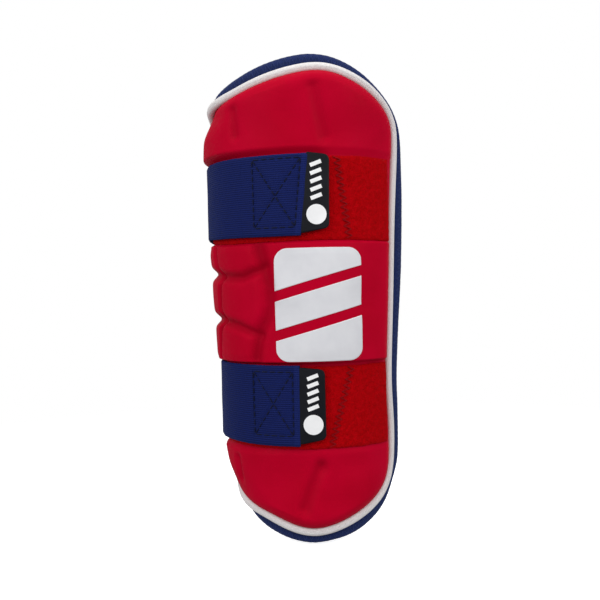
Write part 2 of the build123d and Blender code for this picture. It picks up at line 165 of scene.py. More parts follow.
def ramp(value, start, length):
    """Eases from 0 to 1 as value passes from start to start + length."""
    return smooth((value - start) / length)


def hill(distance, reach):
    return smooth(1 - np.abs(distance) / reach)


def bell(distance, width):
    return np.exp(-(distance / width) ** 2)


def corner_cut(distance, radius):
    """How far a rounded corner draws an edge in, at a distance from its end."""
    inside = np.sqrt(np.maximum(radius ** 2 - (radius - distance) ** 2, 0))
    return np.where(distance < radius, radius - inside, 0)


def flare(angle, z):
    """Stand-off of the upper left corner from the limb, least just under its top."""
    rise_up = 0.9 * ramp(z, 66, 12) * (1 - 0.9 * bell(z - 96, 5.5))
    return ramp(-angle, 40, 30) * (rise_up + 2.0 * ramp(z, 96, 9))


def shell_radius(base, u, z):
    return base + TAPER * z + flare(np.minimum(u, CORNER), z)


def droop(angle, amount):
    """The free end of a strap settles down the pad, away from the corner."""
    return -amount * ramp(angle, -75, 60) * (angle < 0)


def offset_line(points, distance):
    """Moves an open outline sideways, to the left of its direction."""
    moved = []
    for i, (px, pz) in enumerate(points):
        before = points[max(i - 1, 0)]
        after = points[min(i + 1, len(points) - 1)]
        dx, dz = after[0] - before[0], after[1] - before[1]
        length = math.hypot(dx, dz)
        moved.append((px - dz / length * distance, pz + dx / length * distance))
    return moved


def edge_points(front, side, offset, base):
    """Closed outline in space from its front and left side views."""
    side_line = offset_line(side, offset)

    def side_point(y, z):
        radius = base + TAPER * z
        angle = -90 - math.degrees(math.asin(max(-1, min(1, y / radius))))
        radius += float(flare(angle, z))
        return (radius * math.sin(angle * DEG), -radius * math.cos(angle * DEG), z)

    def front_point(x, z):
        radius = base + TAPER * z
        if x > radius * C45:
            return (x, x - radius / C45, z)
        radius += float(flare(math.degrees(math.asin(x / radius)), z))
        angle = math.degrees(math.asin(x / radius))
        return (x, -radius * math.cos(angle * DEG), z)

    points = [side_point(*p) for p in side_line[SIDE_MID:-1]]
    points += [front_point(*p) for p in reversed(offset_line(front, offset)[1:-1])]
    points += [side_point(*p) for p in side_line[1:SIDE_MID]]
    return np.array(points)


def closed_spline(points, count):
    """Periodic cubic through the points: (count evenly spaced samples, its length)."""
    m = len(points)
    step = np.linalg.norm(np.roll(points, -1, 0) - points, axis=1)
    system, rhs = np.zeros((m, m)), np.zeros((m, 3))
    for i in range(m):
        a, b = step[i - 1], step[i]
        j = (i + 1) % m
        system[i, i - 1] += a
        system[i, i] += 2 * (a + b)
        system[i, j] += b
        rhs[i] = 6 * ((points[j] - points[i]) / b - (points[i] - points[i - 1]) / a)
    bend = np.linalg.solve(system, rhs)
    t = np.linspace(0, 1, 24, endpoint=False)[:, None]
    spans = []
    for i in range(m):
        j = (i + 1) % m
        h, s = step[i], t * step[i]
        spans.append(bend[i] * (h - s) ** 3 / (6 * h) + bend[j] * s ** 3 / (6 * h)
                     + (points[i] / h - bend[i] * h / 6) * (h - s)
                     + (points[j] / h - bend[j] * h / 6) * s)
    curve = np.vstack(spans)
    gaps = np.linalg.norm(np.roll(curve, -1, 0) - curve, axis=1)
    run = np.concatenate([[0], np.cumsum(gaps)])
    curve = np.vstack([curve, curve[:1]])
    s = np.linspace(0, run[-1], count, endpoint=False)
    return np.stack([np.interp(s, run, curve[:, k]) for k in range(3)], 1), run[-1]


def to_uz(points):
    """Unrolled position (u, z) of points in space."""
    x, y = points[..., 0], points[..., 1]
    angle = np.degrees(np.arctan2(x, -y))
    tail = (x + y) * C45
    u = np.where((tail > 0) & (x > 0), CORNER + tail / TAIL_R / DEG, angle)
    return u, points[..., 2]


def place(u, radius, z):
    """Point in space at unrolled (u, z) and a shell radius."""
    tail = np.maximum(u - CORNER, 0) * DEG * TAIL_R
    angle = np.minimum(u, CORNER) * DEG
    x = radius * np.sin(angle) + C45 * tail
    y = -radius * np.cos(angle) + C45 * tail
    return np.stack([x, y, z + 0 * x], -1)


def outward(u):
    return place(u, 1.0, 0.0) - place(u, 0.0, 0.0)


def arc_point(angle, radius, z):
    a = np.asarray(angle) * DEG
    return np.stack([radius * np.sin(a), -radius * np.cos(a), z + 0 * a], -1)


def lumps(a, b, scale, seed):
    """Smooth, repeatable undulation, roughly in -1..1."""
    draw = np.random.default_rng(seed)
    waves = 14
    total = 0
    for _ in range(waves):
        heading = draw.uniform(0, 2 * math.pi)
        frequency = draw.uniform(0.6, 1.5) / scale
        phase = draw.uniform(0, 2 * math.pi)
        along = a * math.cos(heading) + b * math.sin(heading)
        total = total + np.sin(2 * math.pi * frequency * along + phase)
    return total / math.sqrt(waves) * 0.7


# ------------------------------------------------------------------- mesh helpers
def build(name, verts, faces, uv=None, attributes=None, mat=None):
    mesh = bpy.data.meshes.new(name)
    v = (np.asarray(verts, float).reshape(-1, 3) + np.array([0, 0, Z_SHIFT])) / 1000.0
    mesh.from_pydata(v.tolist(), [], faces.tolist())
    mesh.update()
    if uv is not None:
        loops = np.zeros(len(mesh.loops), np.int32)
        mesh.loops.foreach_get("vertex_index", loops)
        layer = mesh.uv_layers.new(name="mm")
        layer.data.foreach_set("uv", np.asarray(uv, np.float32)[loops].ravel())
    for key, values in (attributes or {}).items():
        attribute = mesh.attributes.new(key, "FLOAT", "POINT")
        attribute.data.foreach_set("value", np.asarray(values, np.float32).ravel())
    mesh.polygons.foreach_set("use_smooth", np.ones(len(mesh.polygons), bool))
    ob = bpy.data.objects.new(name, mesh)
    bpy.context.scene.collection.objects.link(ob)
    if mat:
        mesh.materials.append(mat)
    return ob


def piece(name, shape, mat, ride="root", blend=None, replaces=None, attributes=None):
    """Builds (vertices, faces, uv) with outward normals and registers the object."""
    ob = build(name, *shape, attributes, mat)
    bm = bmesh.new()
    bm.from_mesh(ob.data)
    bmesh.ops.recalc_face_normals(bm, faces=bm.faces)
    bm.to_mesh(ob.data)
    bm.free()
    if blend:
        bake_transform(ob)
    else:
        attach(ob, ride)
    if replaces:
        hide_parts(replaces)
    return ob


def quads(rows, cols, base=0, flip=False):
    i, j = np.meshgrid(np.arange(rows - 1), np.arange(cols - 1), indexing="ij")
    a = base + i * cols + j
    faces = np.stack([a, a + 1, a + cols + 1, a + cols], -1).reshape(-1, 4)
    return faces[:, ::-1] if flip else faces


def ring_index(rows, cols):
    """Indices round the border of a grid."""
    top = list(range(cols))
    right = [i * cols + cols - 1 for i in range(1, rows)]
    bottom = [(rows - 1) * cols + j for j in range(cols - 2, -1, -1)]
    left = [i * cols for i in range(rows - 2, 0, -1)]
    return np.array(top + right + bottom + left)


def slab(outer, inner, uv, open_start=False, open_end=False):
    """Solid between two matching grids; its first or last row may be left open."""
    rows, cols, _ = outer.shape
    n = rows * cols
    ring = ring_index(rows, cols)
    after = np.roll(ring, -1)
    keep = np.ones(len(ring), bool)
    if open_start:
        keep &= ~((ring < cols) & (after < cols))
    if open_end:
        keep &= ~((ring >= n - cols) & (after >= n - cols))
    side = np.stack([ring, ring + n, after + n, after], -1)[keep]
    faces = np.vstack([quads(rows, cols), quads(rows, cols, n, True), side])
    uv = np.stack(np.broadcast_arrays(*uv), -1).reshape(-1, 2)
    return np.vstack([outer.reshape(-1, 3), inner.reshape(-1, 3)]), faces, np.vstack([uv, uv])


def merge(parts):
    verts, faces, uvs, n = [], [], [], 0
    for v, f, uv in parts:
        verts.append(v)
        faces.append(f + n)
        uvs.append(uv)
        n += len(v)
    return np.vstack(verts), np.vstack(faces), np.vstack(uvs)


def sweep_frame(path, normals, closed=True):
    """Unit normals square to a path, and the unit vectors across it."""
    tangent = np.roll(path, -1, 0) - np.roll(path, 1, 0) if closed else np.gradient(path, axis=0)
    tangent = tangent / np.linalg.norm(tangent, axis=1)[:, None]
    normals = normals - (normals * tangent).sum(1)[:, None] * tangent
    normals = normals / np.linalg.norm(normals, axis=1)[:, None]
    return normals, np.cross(tangent, normals)


def tube(path, normals, r_normal, r_across, segments, closed=True, swell=np.ones((1, 1))):
    """Swept oval; swell scales it along the path and round the section."""
    normals, across = sweep_frame(path, normals, closed)
    n = len(path)
    a = np.linspace(0, 2 * math.pi, segments, endpoint=False)
    section = (normals[:, None] * (r_normal * np.cos(a))[None, :, None]
               + across[:, None] * (r_across * np.sin(a))[None, :, None])
    verts = path[:, None] + section * swell[..., None]
    run = np.concatenate([[0], np.cumsum(np.linalg.norm(np.diff(path, axis=0), axis=1))])
    girth = a * (r_normal + r_across) / 2
    uv = np.stack(np.broadcast_arrays(run[:, None], girth[None]), -1)
    i, j = np.meshgrid(np.arange(n if closed else n - 1), np.arange(segments), indexing="ij")
    i2, j2 = (i + 1) % n, (j + 1) % segments
    faces = np.stack([i * segments + j, i * segments + j2,
                      i2 * segments + j2, i2 * segments + j], -1)
    return verts.reshape(-1, 3), faces.reshape(-1, 4), uv.reshape(-1, 2)


# One sewn stitch: place along it, thickness and height, in stitch radii.
STITCH_ALONG = np.array([0.0, 0.06, 0.18, 0.5, 0.82, 0.94, 1.0])
STITCH_SWELL = np.array([0.05, 0.6, 0.95, 1.0, 0.95, 0.6, 0.05])
STITCH_HEIGHT = np.array([-1.1, -0.35, 0.1, 0.25, 0.1, -0.35, -1.1])
STITCH_FLAT = 0.75
STITCH_PITCH = 3.75


def stitch(start, end, up, radius):
    """A short rounded thread that dips at both ends."""
    height = STITCH_HEIGHT * radius
    path = start + (end - start) * STITCH_ALONG[:, None] + up * height[:, None]
    return tube(path, np.repeat(up[None], 7, 0), radius * STITCH_FLAT, radius, 8,
                closed=False, swell=STITCH_SWELL[:, None])


def seam(runs, locate, up_radius):
    """Stitches along straight runs. A negative up_radius faces them inward."""
    parts = []
    for (a0, b0), (a1, b1) in runs:
        count = max(2, round(math.hypot(a1 - a0, b1 - b0) / STITCH_PITCH))
        for i in range(count):
            start, end = (locate(a0 + (a1 - a0) * f, b0 + (b1 - b0) * f)
                          for f in ((i + 0.11) / count, (i + 0.89) / count))
            up = np.array([start[0], start[1], 0]) / up_radius
            parts.append(stitch(start, end, up, radius=0.30))
    return merge(parts)


def crossed_box(a, b, c, d):
    """The four sides and both diagonals of a sewn box."""
    return [(a, b), (b, c), (c, d), (d, a), (a, c), (b, d)]


# ---------------------------------------------------------------------- materials
class Material:
    """Node material with texture lengths in millimetres."""

    def __init__(self, name):
        self.material = bpy.data.materials.new(name)
        self.material.use_nodes = True
        self.tree = self.material.node_tree
        self.shader = self.tree.nodes["Principled BSDF"]

    def feed(self, socket, value):
        """Links a socket into another, or sets its value."""
        if isinstance(value, bpy.types.NodeSocket):
            self.tree.links.new(value, socket)
        else:
            socket.default_value = value

    def node(self, kind, inputs=None, **settings):
        node = self.tree.nodes.new("ShaderNode" + kind)
        for key, value in settings.items():
            setattr(node, key, value)
        for key, value in (inputs or {}).items():
            self.feed(node.inputs[key], value)
        return node

    @cached_property
    def object_mm(self):
        coordinates = self.node("TexCoord").outputs["Object"]
        return self.node("VectorMath", {0: coordinates, "Scale": 1000},
                         operation="SCALE").outputs[0]

    @cached_property
    def uv_mm(self):
        return self.node("UVMap", uv_map="mm").outputs[0]

    def scaled_uv(self, along=1.0, across=1.0):
        return self.node("VectorMath", {0: self.uv_mm, 1: (along, across, 1.0)},
                         operation="MULTIPLY").outputs[0]

    def noise(self, scale, detail=3.0, roughness=0.55, vector=None):
        return self.node("TexNoise", {
            "Scale": scale, "Detail": detail, "Roughness": roughness,
            "Vector": vector or self.object_mm}).outputs["Fac"]

    def math(self, operation, *values):
        return self.node("Math", dict(enumerate(values)), operation=operation).outputs[0]

    def remap(self, value, source=(0.3, 0.7), target=(0, 1)):
        return self.node("MapRange", dict(enumerate((value, *source, *target)))).outputs[0]

    def mix(self, factor, a, b):
        a, b = ((*c, 1.0) if isinstance(c, tuple) else c for c in (a, b))
        return self.node("Mix", {0: factor, 6: a, 7: b}, data_type="RGBA").outputs[2]

    def attribute(self, name):
        return self.node("Attribute", attribute_name=name).outputs["Fac"]

    def bump(self, height, strength, depth_mm, under=None):
        inputs = {"Strength": strength, "Distance": depth_mm / 1000, "Height": height}
        if under is not None:
            inputs["Normal"] = under
        return self.node("Bump", inputs).outputs[0]

    def wave(self, vector, axis, pitch):
        """Sine ridges along one axis of a vector."""
        axes = self.node("SeparateXYZ", {0: vector})
        return self.sine(axes.outputs[axis], pitch)

    def sine(self, value, pitch):
        return self.math("SINE", self.math("MULTIPLY", value, 2 * math.pi / pitch))

    def finish(self, **inputs):
        for key, value in inputs.items():
            self.feed(self.shader.inputs[key.replace("_", " ")], value)
        return self.material


def skin_material():
    mat = Material("cover_skin_fabric")
    crease, rim = mat.attribute("crev"), mat.attribute("rim")
    color = mat.mix(mat.remap(mat.noise(scale=0.035)), (0.385, 0.0, 0.0135), (0.44, 0.0, 0.0185))
    # painted shade: the red is darkened in grooves, dents, strap recesses and down the side wall
    color = mat.mix(mat.math("MULTIPLY", crease, 0.42), color, (0.21, 0.0, 0.007))
    # painted sheen: the red is lightened to a paler red near the rolled edge and on the side wall
    color = mat.mix(mat.math("MULTIPLY", rim, 0.35), color, (0.50, 0.002, 0.022))
    knit = mat.math("MULTIPLY", mat.wave(mat.scaled_uv(), axis=0, pitch=0.75),
                    mat.wave(mat.scaled_uv(), axis=1, pitch=0.62))
    normal = mat.bump(mat.noise(scale=1.7, detail=4), strength=0.35, depth_mm=0.10)
    normal = mat.bump(knit, strength=0.28, depth_mm=0.035, under=normal)
    normal = mat.bump(mat.noise(scale=0.05, detail=1), strength=0.3, depth_mm=0.5, under=normal)
    return mat.finish(
        Base_Color=color, Normal=normal,
        Roughness=mat.remap(mat.noise(scale=0.5, detail=4), target=(0.44, 0.60)),
        Sheen_Weight=0.04, Sheen_Roughness=0.35, Sheen_Tint=(1.0, 0.12, 0.26, 1),
        Specular_IOR_Level=0.022)


def pile_material():
    mat = Material("brushed_loop_pile")
    fibre = mat.noise(scale=2.6, detail=5, roughness=0.7)
    patch = mat.noise(scale=0.5)
    color = mat.mix(mat.remap(fibre, source=(0.35, 0.68)), (0.20, 0.0, 0.0005), (0.50, 0.0, 0.0025))
    color = mat.mix(mat.remap(patch, source=(0.4, 0.75), target=(0, 0.35)),
                    color, (0.56, 0.002, 0.008))
    normal = mat.bump(fibre, strength=0.9, depth_mm=0.35)
    normal = mat.bump(mat.noise(scale=6.0), strength=0.6, depth_mm=0.12, under=normal)
    return mat.finish(
        Base_Color=color, Normal=normal, Roughness=mat.remap(patch, target=(0.8, 0.95)),
        Sheen_Weight=0.10, Sheen_Roughness=0.5, Sheen_Tint=(1.0, 0.06, 0.08, 1),
        Specular_IOR_Level=0.03)


def webbing_material():
    mat = Material("ribbed_elastic_webbing")
    ripple = mat.noise(scale=0.25, detail=2, vector=mat.scaled_uv(along=0.25))
    weave_uv = mat.scaled_uv()
    ribs = mat.wave(weave_uv, axis=1, pitch=1.05)
    weft = mat.wave(weave_uv, axis=0, pitch=0.85)
    weave = mat.math("MULTIPLY", ribs, mat.math("MULTIPLY_ADD", weft, 0.35, 0.65))
    yarn = mat.noise(scale=1.1, vector=mat.scaled_uv(along=0.18))
    # light yarns: weave weighted 0.42, yarn noise 0.55
    shade = mat.math("ADD", mat.math("MULTIPLY", weave, 0.42), mat.math("MULTIPLY", yarn, 0.55))
    color = mat.mix(mat.remap(shade, source=(-0.15, 0.72)),
                    (0.0020, 0.0050, 0.042), (0.0064, 0.0145, 0.108))
    # painted highlight: the webbing is lightened over the folded tip's bend
    color = mat.mix(mat.math("MULTIPLY", mat.attribute("fold"), 0.25), color, (0.009, 0.019, 0.120))
    color = mat.mix(mat.math("MULTIPLY", mat.attribute("selv"), 0.45), color, (0.010, 0.021, 0.125))
    normal = mat.bump(weave, strength=0.85, depth_mm=0.13)
    normal = mat.bump(yarn, strength=0.18, depth_mm=0.08, under=normal)
    normal = mat.bump(ripple, strength=0.3, depth_mm=0.35, under=normal)
    return mat.finish(
        Base_Color=color, Normal=normal, Roughness=mat.remap(yarn, target=(0.58, 0.76)),
        Sheen_Weight=0.04, Sheen_Roughness=0.4, Sheen_Tint=(0.3, 0.5, 1.0, 1),
        Specular_IOR_Level=0.075)


def fabric(name, dark, light, pitch, sheen=0.07, tint=(0.6, 0.7, 1, 1), diagonal=False,
           weave_mm=0.10):
    """Knit, thread or diagonal weave with yarn colour variation."""
    mat = Material(name)
    if diagonal:
        axes = mat.node("SeparateXYZ", {0: mat.uv_mm})
        weave = mat.math("MAXIMUM", *(mat.sine(mat.math(way, axes.outputs[0], axes.outputs[1]), pitch)
                                      for way in ("ADD", "SUBTRACT")))
    else:
        weave = mat.math("MULTIPLY", mat.wave(mat.object_mm, axis=2, pitch=pitch),
                         mat.wave(mat.object_mm, axis=0, pitch=pitch * 1.15))
    yarn = mat.noise(scale=1.4, detail=4)
    shade = mat.math("ADD", mat.math("MULTIPLY", weave, 0.18), yarn)  # weave weighted 0.18
    color = mat.mix(mat.remap(shade, source=(0.3, 0.8)), dark, light)
    normal = mat.bump(weave, strength=0.6, depth_mm=weave_mm)
    normal = mat.bump(yarn, strength=0.4, depth_mm=0.12, under=normal)
    normal = mat.bump(mat.noise(scale=0.15, detail=2), strength=0.35, depth_mm=0.5, under=normal)
    return mat.finish(
        Base_Color=color, Normal=normal, Roughness=mat.remap(yarn, target=(0.7, 0.88)),
        Sheen_Weight=sheen, Sheen_Roughness=0.5, Sheen_Tint=tint, Specular_IOR_Level=0.12)


def solid(name, dark, light, roughness, grain, depth_mm, strength, **inputs):
    """Moulded rubber, foam, plate or print: fine pebble with cloudy colour."""
    mat = Material(name)
    fine = mat.noise(scale=grain, detail=5, roughness=0.65)
    color = mat.mix(mat.remap(mat.noise(scale=0.12)), dark, light)
    pebble = mat.node("TexVoronoi", {"Scale": grain * 0.8, "Vector": mat.object_mm})
    normal = mat.bump(fine, strength, depth_mm)
    normal = mat.bump(pebble.outputs["Distance"], strength * 0.5, depth_mm, under=normal)
    return mat.finish(Base_Color=color, Normal=normal,
                      Roughness=mat.remap(fine, target=roughness), **inputs)


SKIN_MAT, PILE_MAT, WEB_MAT = skin_material(), pile_material(), webbing_material()
ZIGZAG_MAT = fabric("tonal_zigzag_thread", dark=(0.16, 0.0, 0.002), light=(0.33, 0.001, 0.006),
                    pitch=0.6, tint=(1, .3, .3, 1))
THREAD_MAT = fabric("dark_sewing_thread", dark=(0.0014, 0.0024, 0.014),
                    light=(0.0034, 0.0060, 0.030), pitch=0.5)
HOOK_MAT = solid("moulded_hook_tape", dark=(0.010, 0.013, 0.035), light=(0.018, 0.022, 0.055),
                 roughness=(0.45, 0.7), grain=1.9, depth_mm=0.5, strength=0.9)
LINER_MAT = fabric("padded_knit_lining", dark=(0.0075, 0.012, 0.058), light=(0.018, 0.030, 0.118),
                   pitch=1.3, weave_mm=0.16)
BINDING_MAT = fabric("edge_binding_knit", dark=(0.0065, 0.012, 0.058),
                     light=(0.0145, 0.027, 0.115), pitch=1.1, diagonal=True)
OVERLOCK_MAT = fabric("overlock_thread", dark=(0.013, 0.024, 0.085), light=(0.030, 0.050, 0.17),
                      pitch=0.5)
PIPING_MAT = fabric("woven_piping_tape", dark=(0.60, 0.565, 0.555), light=(0.79, 0.765, 0.755),
                    pitch=0.8, sheen=0.15, tint=(1, .9, .9, 1), diagonal=True, weave_mm=0.07)
CORD_MAT = fabric("twisted_filler_cord", dark=(0.55, 0.51, 0.45), light=(0.70, 0.66, 0.60),
                  pitch=1.2)
FOAM_MAT = solid("closed_cell_foam", dark=(0.62, 0.45, 0.08), light=(0.72, 0.54, 0.12),
                 roughness=(0.75, 0.9), grain=3.0, depth_mm=0.25, strength=0.6)
BASE_MAT = solid("base_foam_sheet", dark=(0.02, 0.02, 0.022), light=(0.035, 0.035, 0.038),
                 roughness=(0.8, 0.92), grain=3.0, depth_mm=0.2, strength=0.6)
PLATE_MAT = solid("shield_plate_plastic", dark=(0.012, 0.012, 0.014), light=(0.022, 0.022, 0.025),
                  roughness=(0.35, 0.55), grain=1.6, depth_mm=0.05, strength=0.4)
TAB_MAT = solid("moulded_tab_rubber", dark=(0.0025, 0.003, 0.005), light=(0.005, 0.006, 0.009),
                roughness=(0.42, 0.60), grain=2.6, depth_mm=0.06, strength=0.45,
                Specular_IOR_Level=0.14)
PRINT_MAT = solid("heat_pressed_print", dark=(0.60, 0.60, 0.625), light=(0.64, 0.64, 0.66),
                  roughness=(0.38, 0.52), grain=1.8, depth_mm=0.03, strength=0.3,
                  Specular_IOR_Level=0.4)
BADGE_MAT = solid("badge_print", dark=(0.74, 0.74, 0.74), light=(0.80, 0.80, 0.80),
                  roughness=(0.4, 0.55), grain=1.8, depth_mm=0.03, strength=0.3,
                  Specular_IOR_Level=0.3)

# --------------------------------------------------------------- pad height field
# Each entry: path of (angle, z), half width, depth.
GROOVES = [
    ([(-29.1, 30), (-29.1, 27), (-25.8, 13.5), (-23.3, 6), (-23.4, -3), (-25.6, -9),
      (-30, -14.6), (-32.2, -20.3), (-34, -29)], 3.4, 2.05),
    ([(-67, 31), (-66.7, 25), (-65.8, 17), (-62.7, 12.5), (-64.5, 7), (-65.5, -3),
      (-63.5, -9.5), (-67.3, -15), (-69.4, -22), (-71, -29)], 1.7, 1.9),
    ([(-63, 13.4), (-49.9, 12.2), (-40.9, 11.9), (-30.4, 14.9), (-25.8, 16.8)], 2.4, 1.5),
    ([(-63.7, -9), (-56.8, -10.8), (-49, -11.9), (-43.2, -13.4), (-35.2, -16), (-30.8, -17.4)],
     2.4, 1.5),
    ([(-62.7, 13.2), (-72, 14.3), (-85, 15.2), (-104, 15.2)], 2.7, 2.4),
    ([(-63.7, -9.0), (-82, -9.2), (-104, -9.2)], 2.7, 2.5),
]
DENTS = [
    ([(2.6, 103), (5.0, 92), (8.2, 80)], 2.9, 1.45),
    ([(-41.5, 95.5), (-41, 83.5)], 2.6, 1.5),
    ([(3.0, -83.5), (-2.5, -93), (-7.2, -103.5)], 3.4, 1.7),
    ([(3.0, -83.5), (3.2, -84.3)], 3.2, 0.9),
    ([(-56.5, -81.5), (-54.8, -91)], 2.4, 1.4),
]
RIDGE = [(-23.0, 28), (-18.8, 2), (-25.4, -16), (-29, -30)]  # beside the first groove
FIELD = (-31, 29)    # z range between the two strap channels


def path_distance(across, z, path):
    """Distance in unrolled mm from each point to a path of (angle, z)."""
    best = np.full(across.shape, 1e9)
    for (t0, z0), (t1, z1) in zip(path[:-1], path[1:]):
        a = np.array([t0 * DEG * FACE_R, z0])
        d = np.array([t1 * DEG * FACE_R, z1]) - a
        k = np.clip(((across - a[0]) * d[0] + (z - a[1]) * d[1]) / (d @ d), 0, 1)
        best = np.minimum(best, np.hypot(across - a[0] - k * d[0], z - a[1] - k * d[1]))
    return best


def field_band(z, soft):
    low, high = FIELD
    return smooth((z - low + soft * 0.25) / soft) * smooth((high - z + soft * 0.25) / soft)


def face_radius(u, z):
    """Shell radius of the skin before the rolled outer edge, and how creased it is."""
    tail = np.maximum(u - CORNER, 0) * DEG * TAIL_R
    across = u * DEG * FACE_R
    radius = shell_radius(FACE_R, u, z)
    # the crease value also sets how much painted shade the skin colour gets
    crease = np.zeros(across.shape)
    for marks, shade in ((GROOVES, 1.0), (DENTS, 0.55)):
        for path, width, depth in marks:
            mark = bell(path_distance(across, z, path), width)
            radius = radius - depth * mark
            crease = np.maximum(crease, shade * mark)
    # pods swell between their grooves, and the middle field is gently crowned
    pods = ramp(-u, 26, 8) * field_band(z, soft=6)
    radius = radius + 0.75 * pods * (1 - crease)
    radius = radius + 0.5 * hill(u - 4, 44) * field_band(z, soft=10)
    radius = radius + 0.6 * bell(path_distance(across, z, RIDGE), 2.6)
    radius = radius + 0.14 * lumps(across, z, scale=46, seed=5)
    # recesses with rolled lips seat the straps; the domes sink a little towards them
    for strap in STRAPS:
        floor_r = np.sqrt((strap.R - STACK) ** 2 - tail * tail)
        low = strap.channel[0] + strap.strip_taper * ramp(-u, 45, 40)
        drop, right_drop = strap.channel_drop
        high = strap.channel[1] - drop * ramp(u, -75, 60) - right_drop * ramp(u, -2, 12)
        far = (low, high)[strap.dome_edge]
        sink, right_sink = strap.sink
        radius = radius - ((sink + right_sink * ramp(u, 2, 12))
                           * hill(z - far, 34) * ramp(u, -58, 50))
        (low_reach, low_width), (high_reach, high_width) = strap.lips
        inside = ramp(z - low, -low_reach, low_width) * ramp(high - z, -high_reach, high_width)
        radius = np.where(inside > 0, radius * (1 - inside) + floor_r * inside, radius)
        # the recess floor is marked for painted shade in the skin colour
        crease = np.maximum(crease, 0.45 * ramp(inside, 0.8, 0.2))
    return radius, crease


# ------------------------------------------------------------------ outline grids
def side_chains(outline):
    """The (z, u) runs of the left and right sides, then the lowest and highest z."""
    u, z = to_uz(outline)
    top, bottom = int(np.argmax(z)), int(np.argmin(z))
    n = len(outline)

    def walk(start, end):
        return (start + np.arange((end - start) % n + 1)) % n

    left, right = walk(bottom, top), walk(top, bottom)[::-1]
    if u[left].mean() > u[right].mean():
        left, right = right, left
    # a tiny slope keeps the heights strictly rising
    runs = [(np.maximum.accumulate(z[side] + np.arange(len(side)) * 1e-6), u[side])
            for side in (left, right)]
    return runs, z[bottom], z[top]


def outline_grid(outline, row_step, cols, cap_rows):
    """Grid of (u, z) filling an outline, with finer rows in its end caps."""
    cap = 5.0
    (left, right), low, high = side_chains(outline)
    ends = np.concatenate([[0.0006], (np.arange(1, cap_rows + 1) / cap_rows) ** 2])
    rows = int((high - low - 2 * cap) / row_step) + 1
    middle = np.linspace(low + cap, high - cap, rows)[1:-1]
    zs = np.concatenate([low + cap * ends, middle, (high - cap * ends)[::-1]])
    t = np.linspace(0, 1, cols)
    spread = 0.6 * t + 0.2 * (1 - np.cos(math.pi * t))  # columns crowd to both sides
    u_left, u_right = np.interp(zs, *left), np.interp(zs, *right)
    u = u_left[:, None] + (u_right - u_left)[:, None] * spread[None]
    return u, np.repeat(zs[:, None], cols, 1)


def edge_distance(u_grid, z_grid, outline):
    unroll_r = 48.0
    chunk = 4000     # points handled at a time
    u, z = to_uz(outline)
    start = np.stack([u * DEG * unroll_r, z], 1)
    side = np.roll(start, -1, 0) - start
    length2 = (side * side).sum(1) + 1e-12
    query = np.stack([u_grid.ravel() * DEG * unroll_r, z_grid.ravel()], 1)
    out = np.empty(len(query))
    for i in range(0, len(query), chunk):
        d = query[i:i + chunk, None] - start[None]
        k = np.clip((d * side[None]).sum(2) / length2, 0, 1)
        d = d - k[..., None] * side[None]
        out[i:i + chunk] = np.sqrt((d * d).sum(2).min(1))
    return out.reshape(u_grid.shape)


def rise(u, z, target):
    """Leaves the wall's foot in the wall's direction until the target radius."""
    foot = place(u, shell_radius(WALL_R, u, z), z)
    x, y = foot[..., 0], foot[..., 1]
    turn = 90 * DEG * ramp(-u, 20, 70)
    dx, dy = -np.sin(turn), -np.cos(turn)
    b = x * dx + y * dy
    reach = -b + np.sqrt(np.maximum(b * b - (x * x + y * y) + target ** 2, 0))
    px, py = x + dx * reach, y + dy * reach
    slope = (dx - dy) * C45
    flat_reach = (target - (x - y) * C45) / np.where(np.abs(slope) < 1e-6, 1e-6, slope)
    reach = np.where((px + py > 0) & (px > 0), flat_reach, reach)
    return np.stack([x + dx * reach, y + dy * reach, z], -1)


def corner_drop(u, z, edge):
    """Extra fall of the skin at the two left corners."""
    corner = ramp(-u, 38, 34) * (ramp(z, 74, 16) + ramp(-z, 76, 14))
    return 4.6 * corner * (1 - smooth(edge / 17))


def pad_surface(u, z, edge):
    """Finished skin points, their crease values and their true u."""
    true_u = u
    for _ in range(4):
        radius, crease = face_radius(true_u, z)
        # rolled edge: tight down the right-hand side, fuller at the ends
        roll_r = 3.2 + 2.8 * ramp(np.abs(z + 2), 84, 22) + 1.6 * ramp(-u, 60, 30)
        k = np.clip(1 - edge / roll_r, 0, 1)
        roll = roll_r * (1 - np.sqrt(np.maximum(1 - k * k, 0))) + corner_drop(u, z, edge)
        points = rise(u, z, np.maximum(radius - roll, shell_radius(WALL_R, u, z) - 0.3))
        true_u, _z = to_uz(points)
    return points, crease, true_u


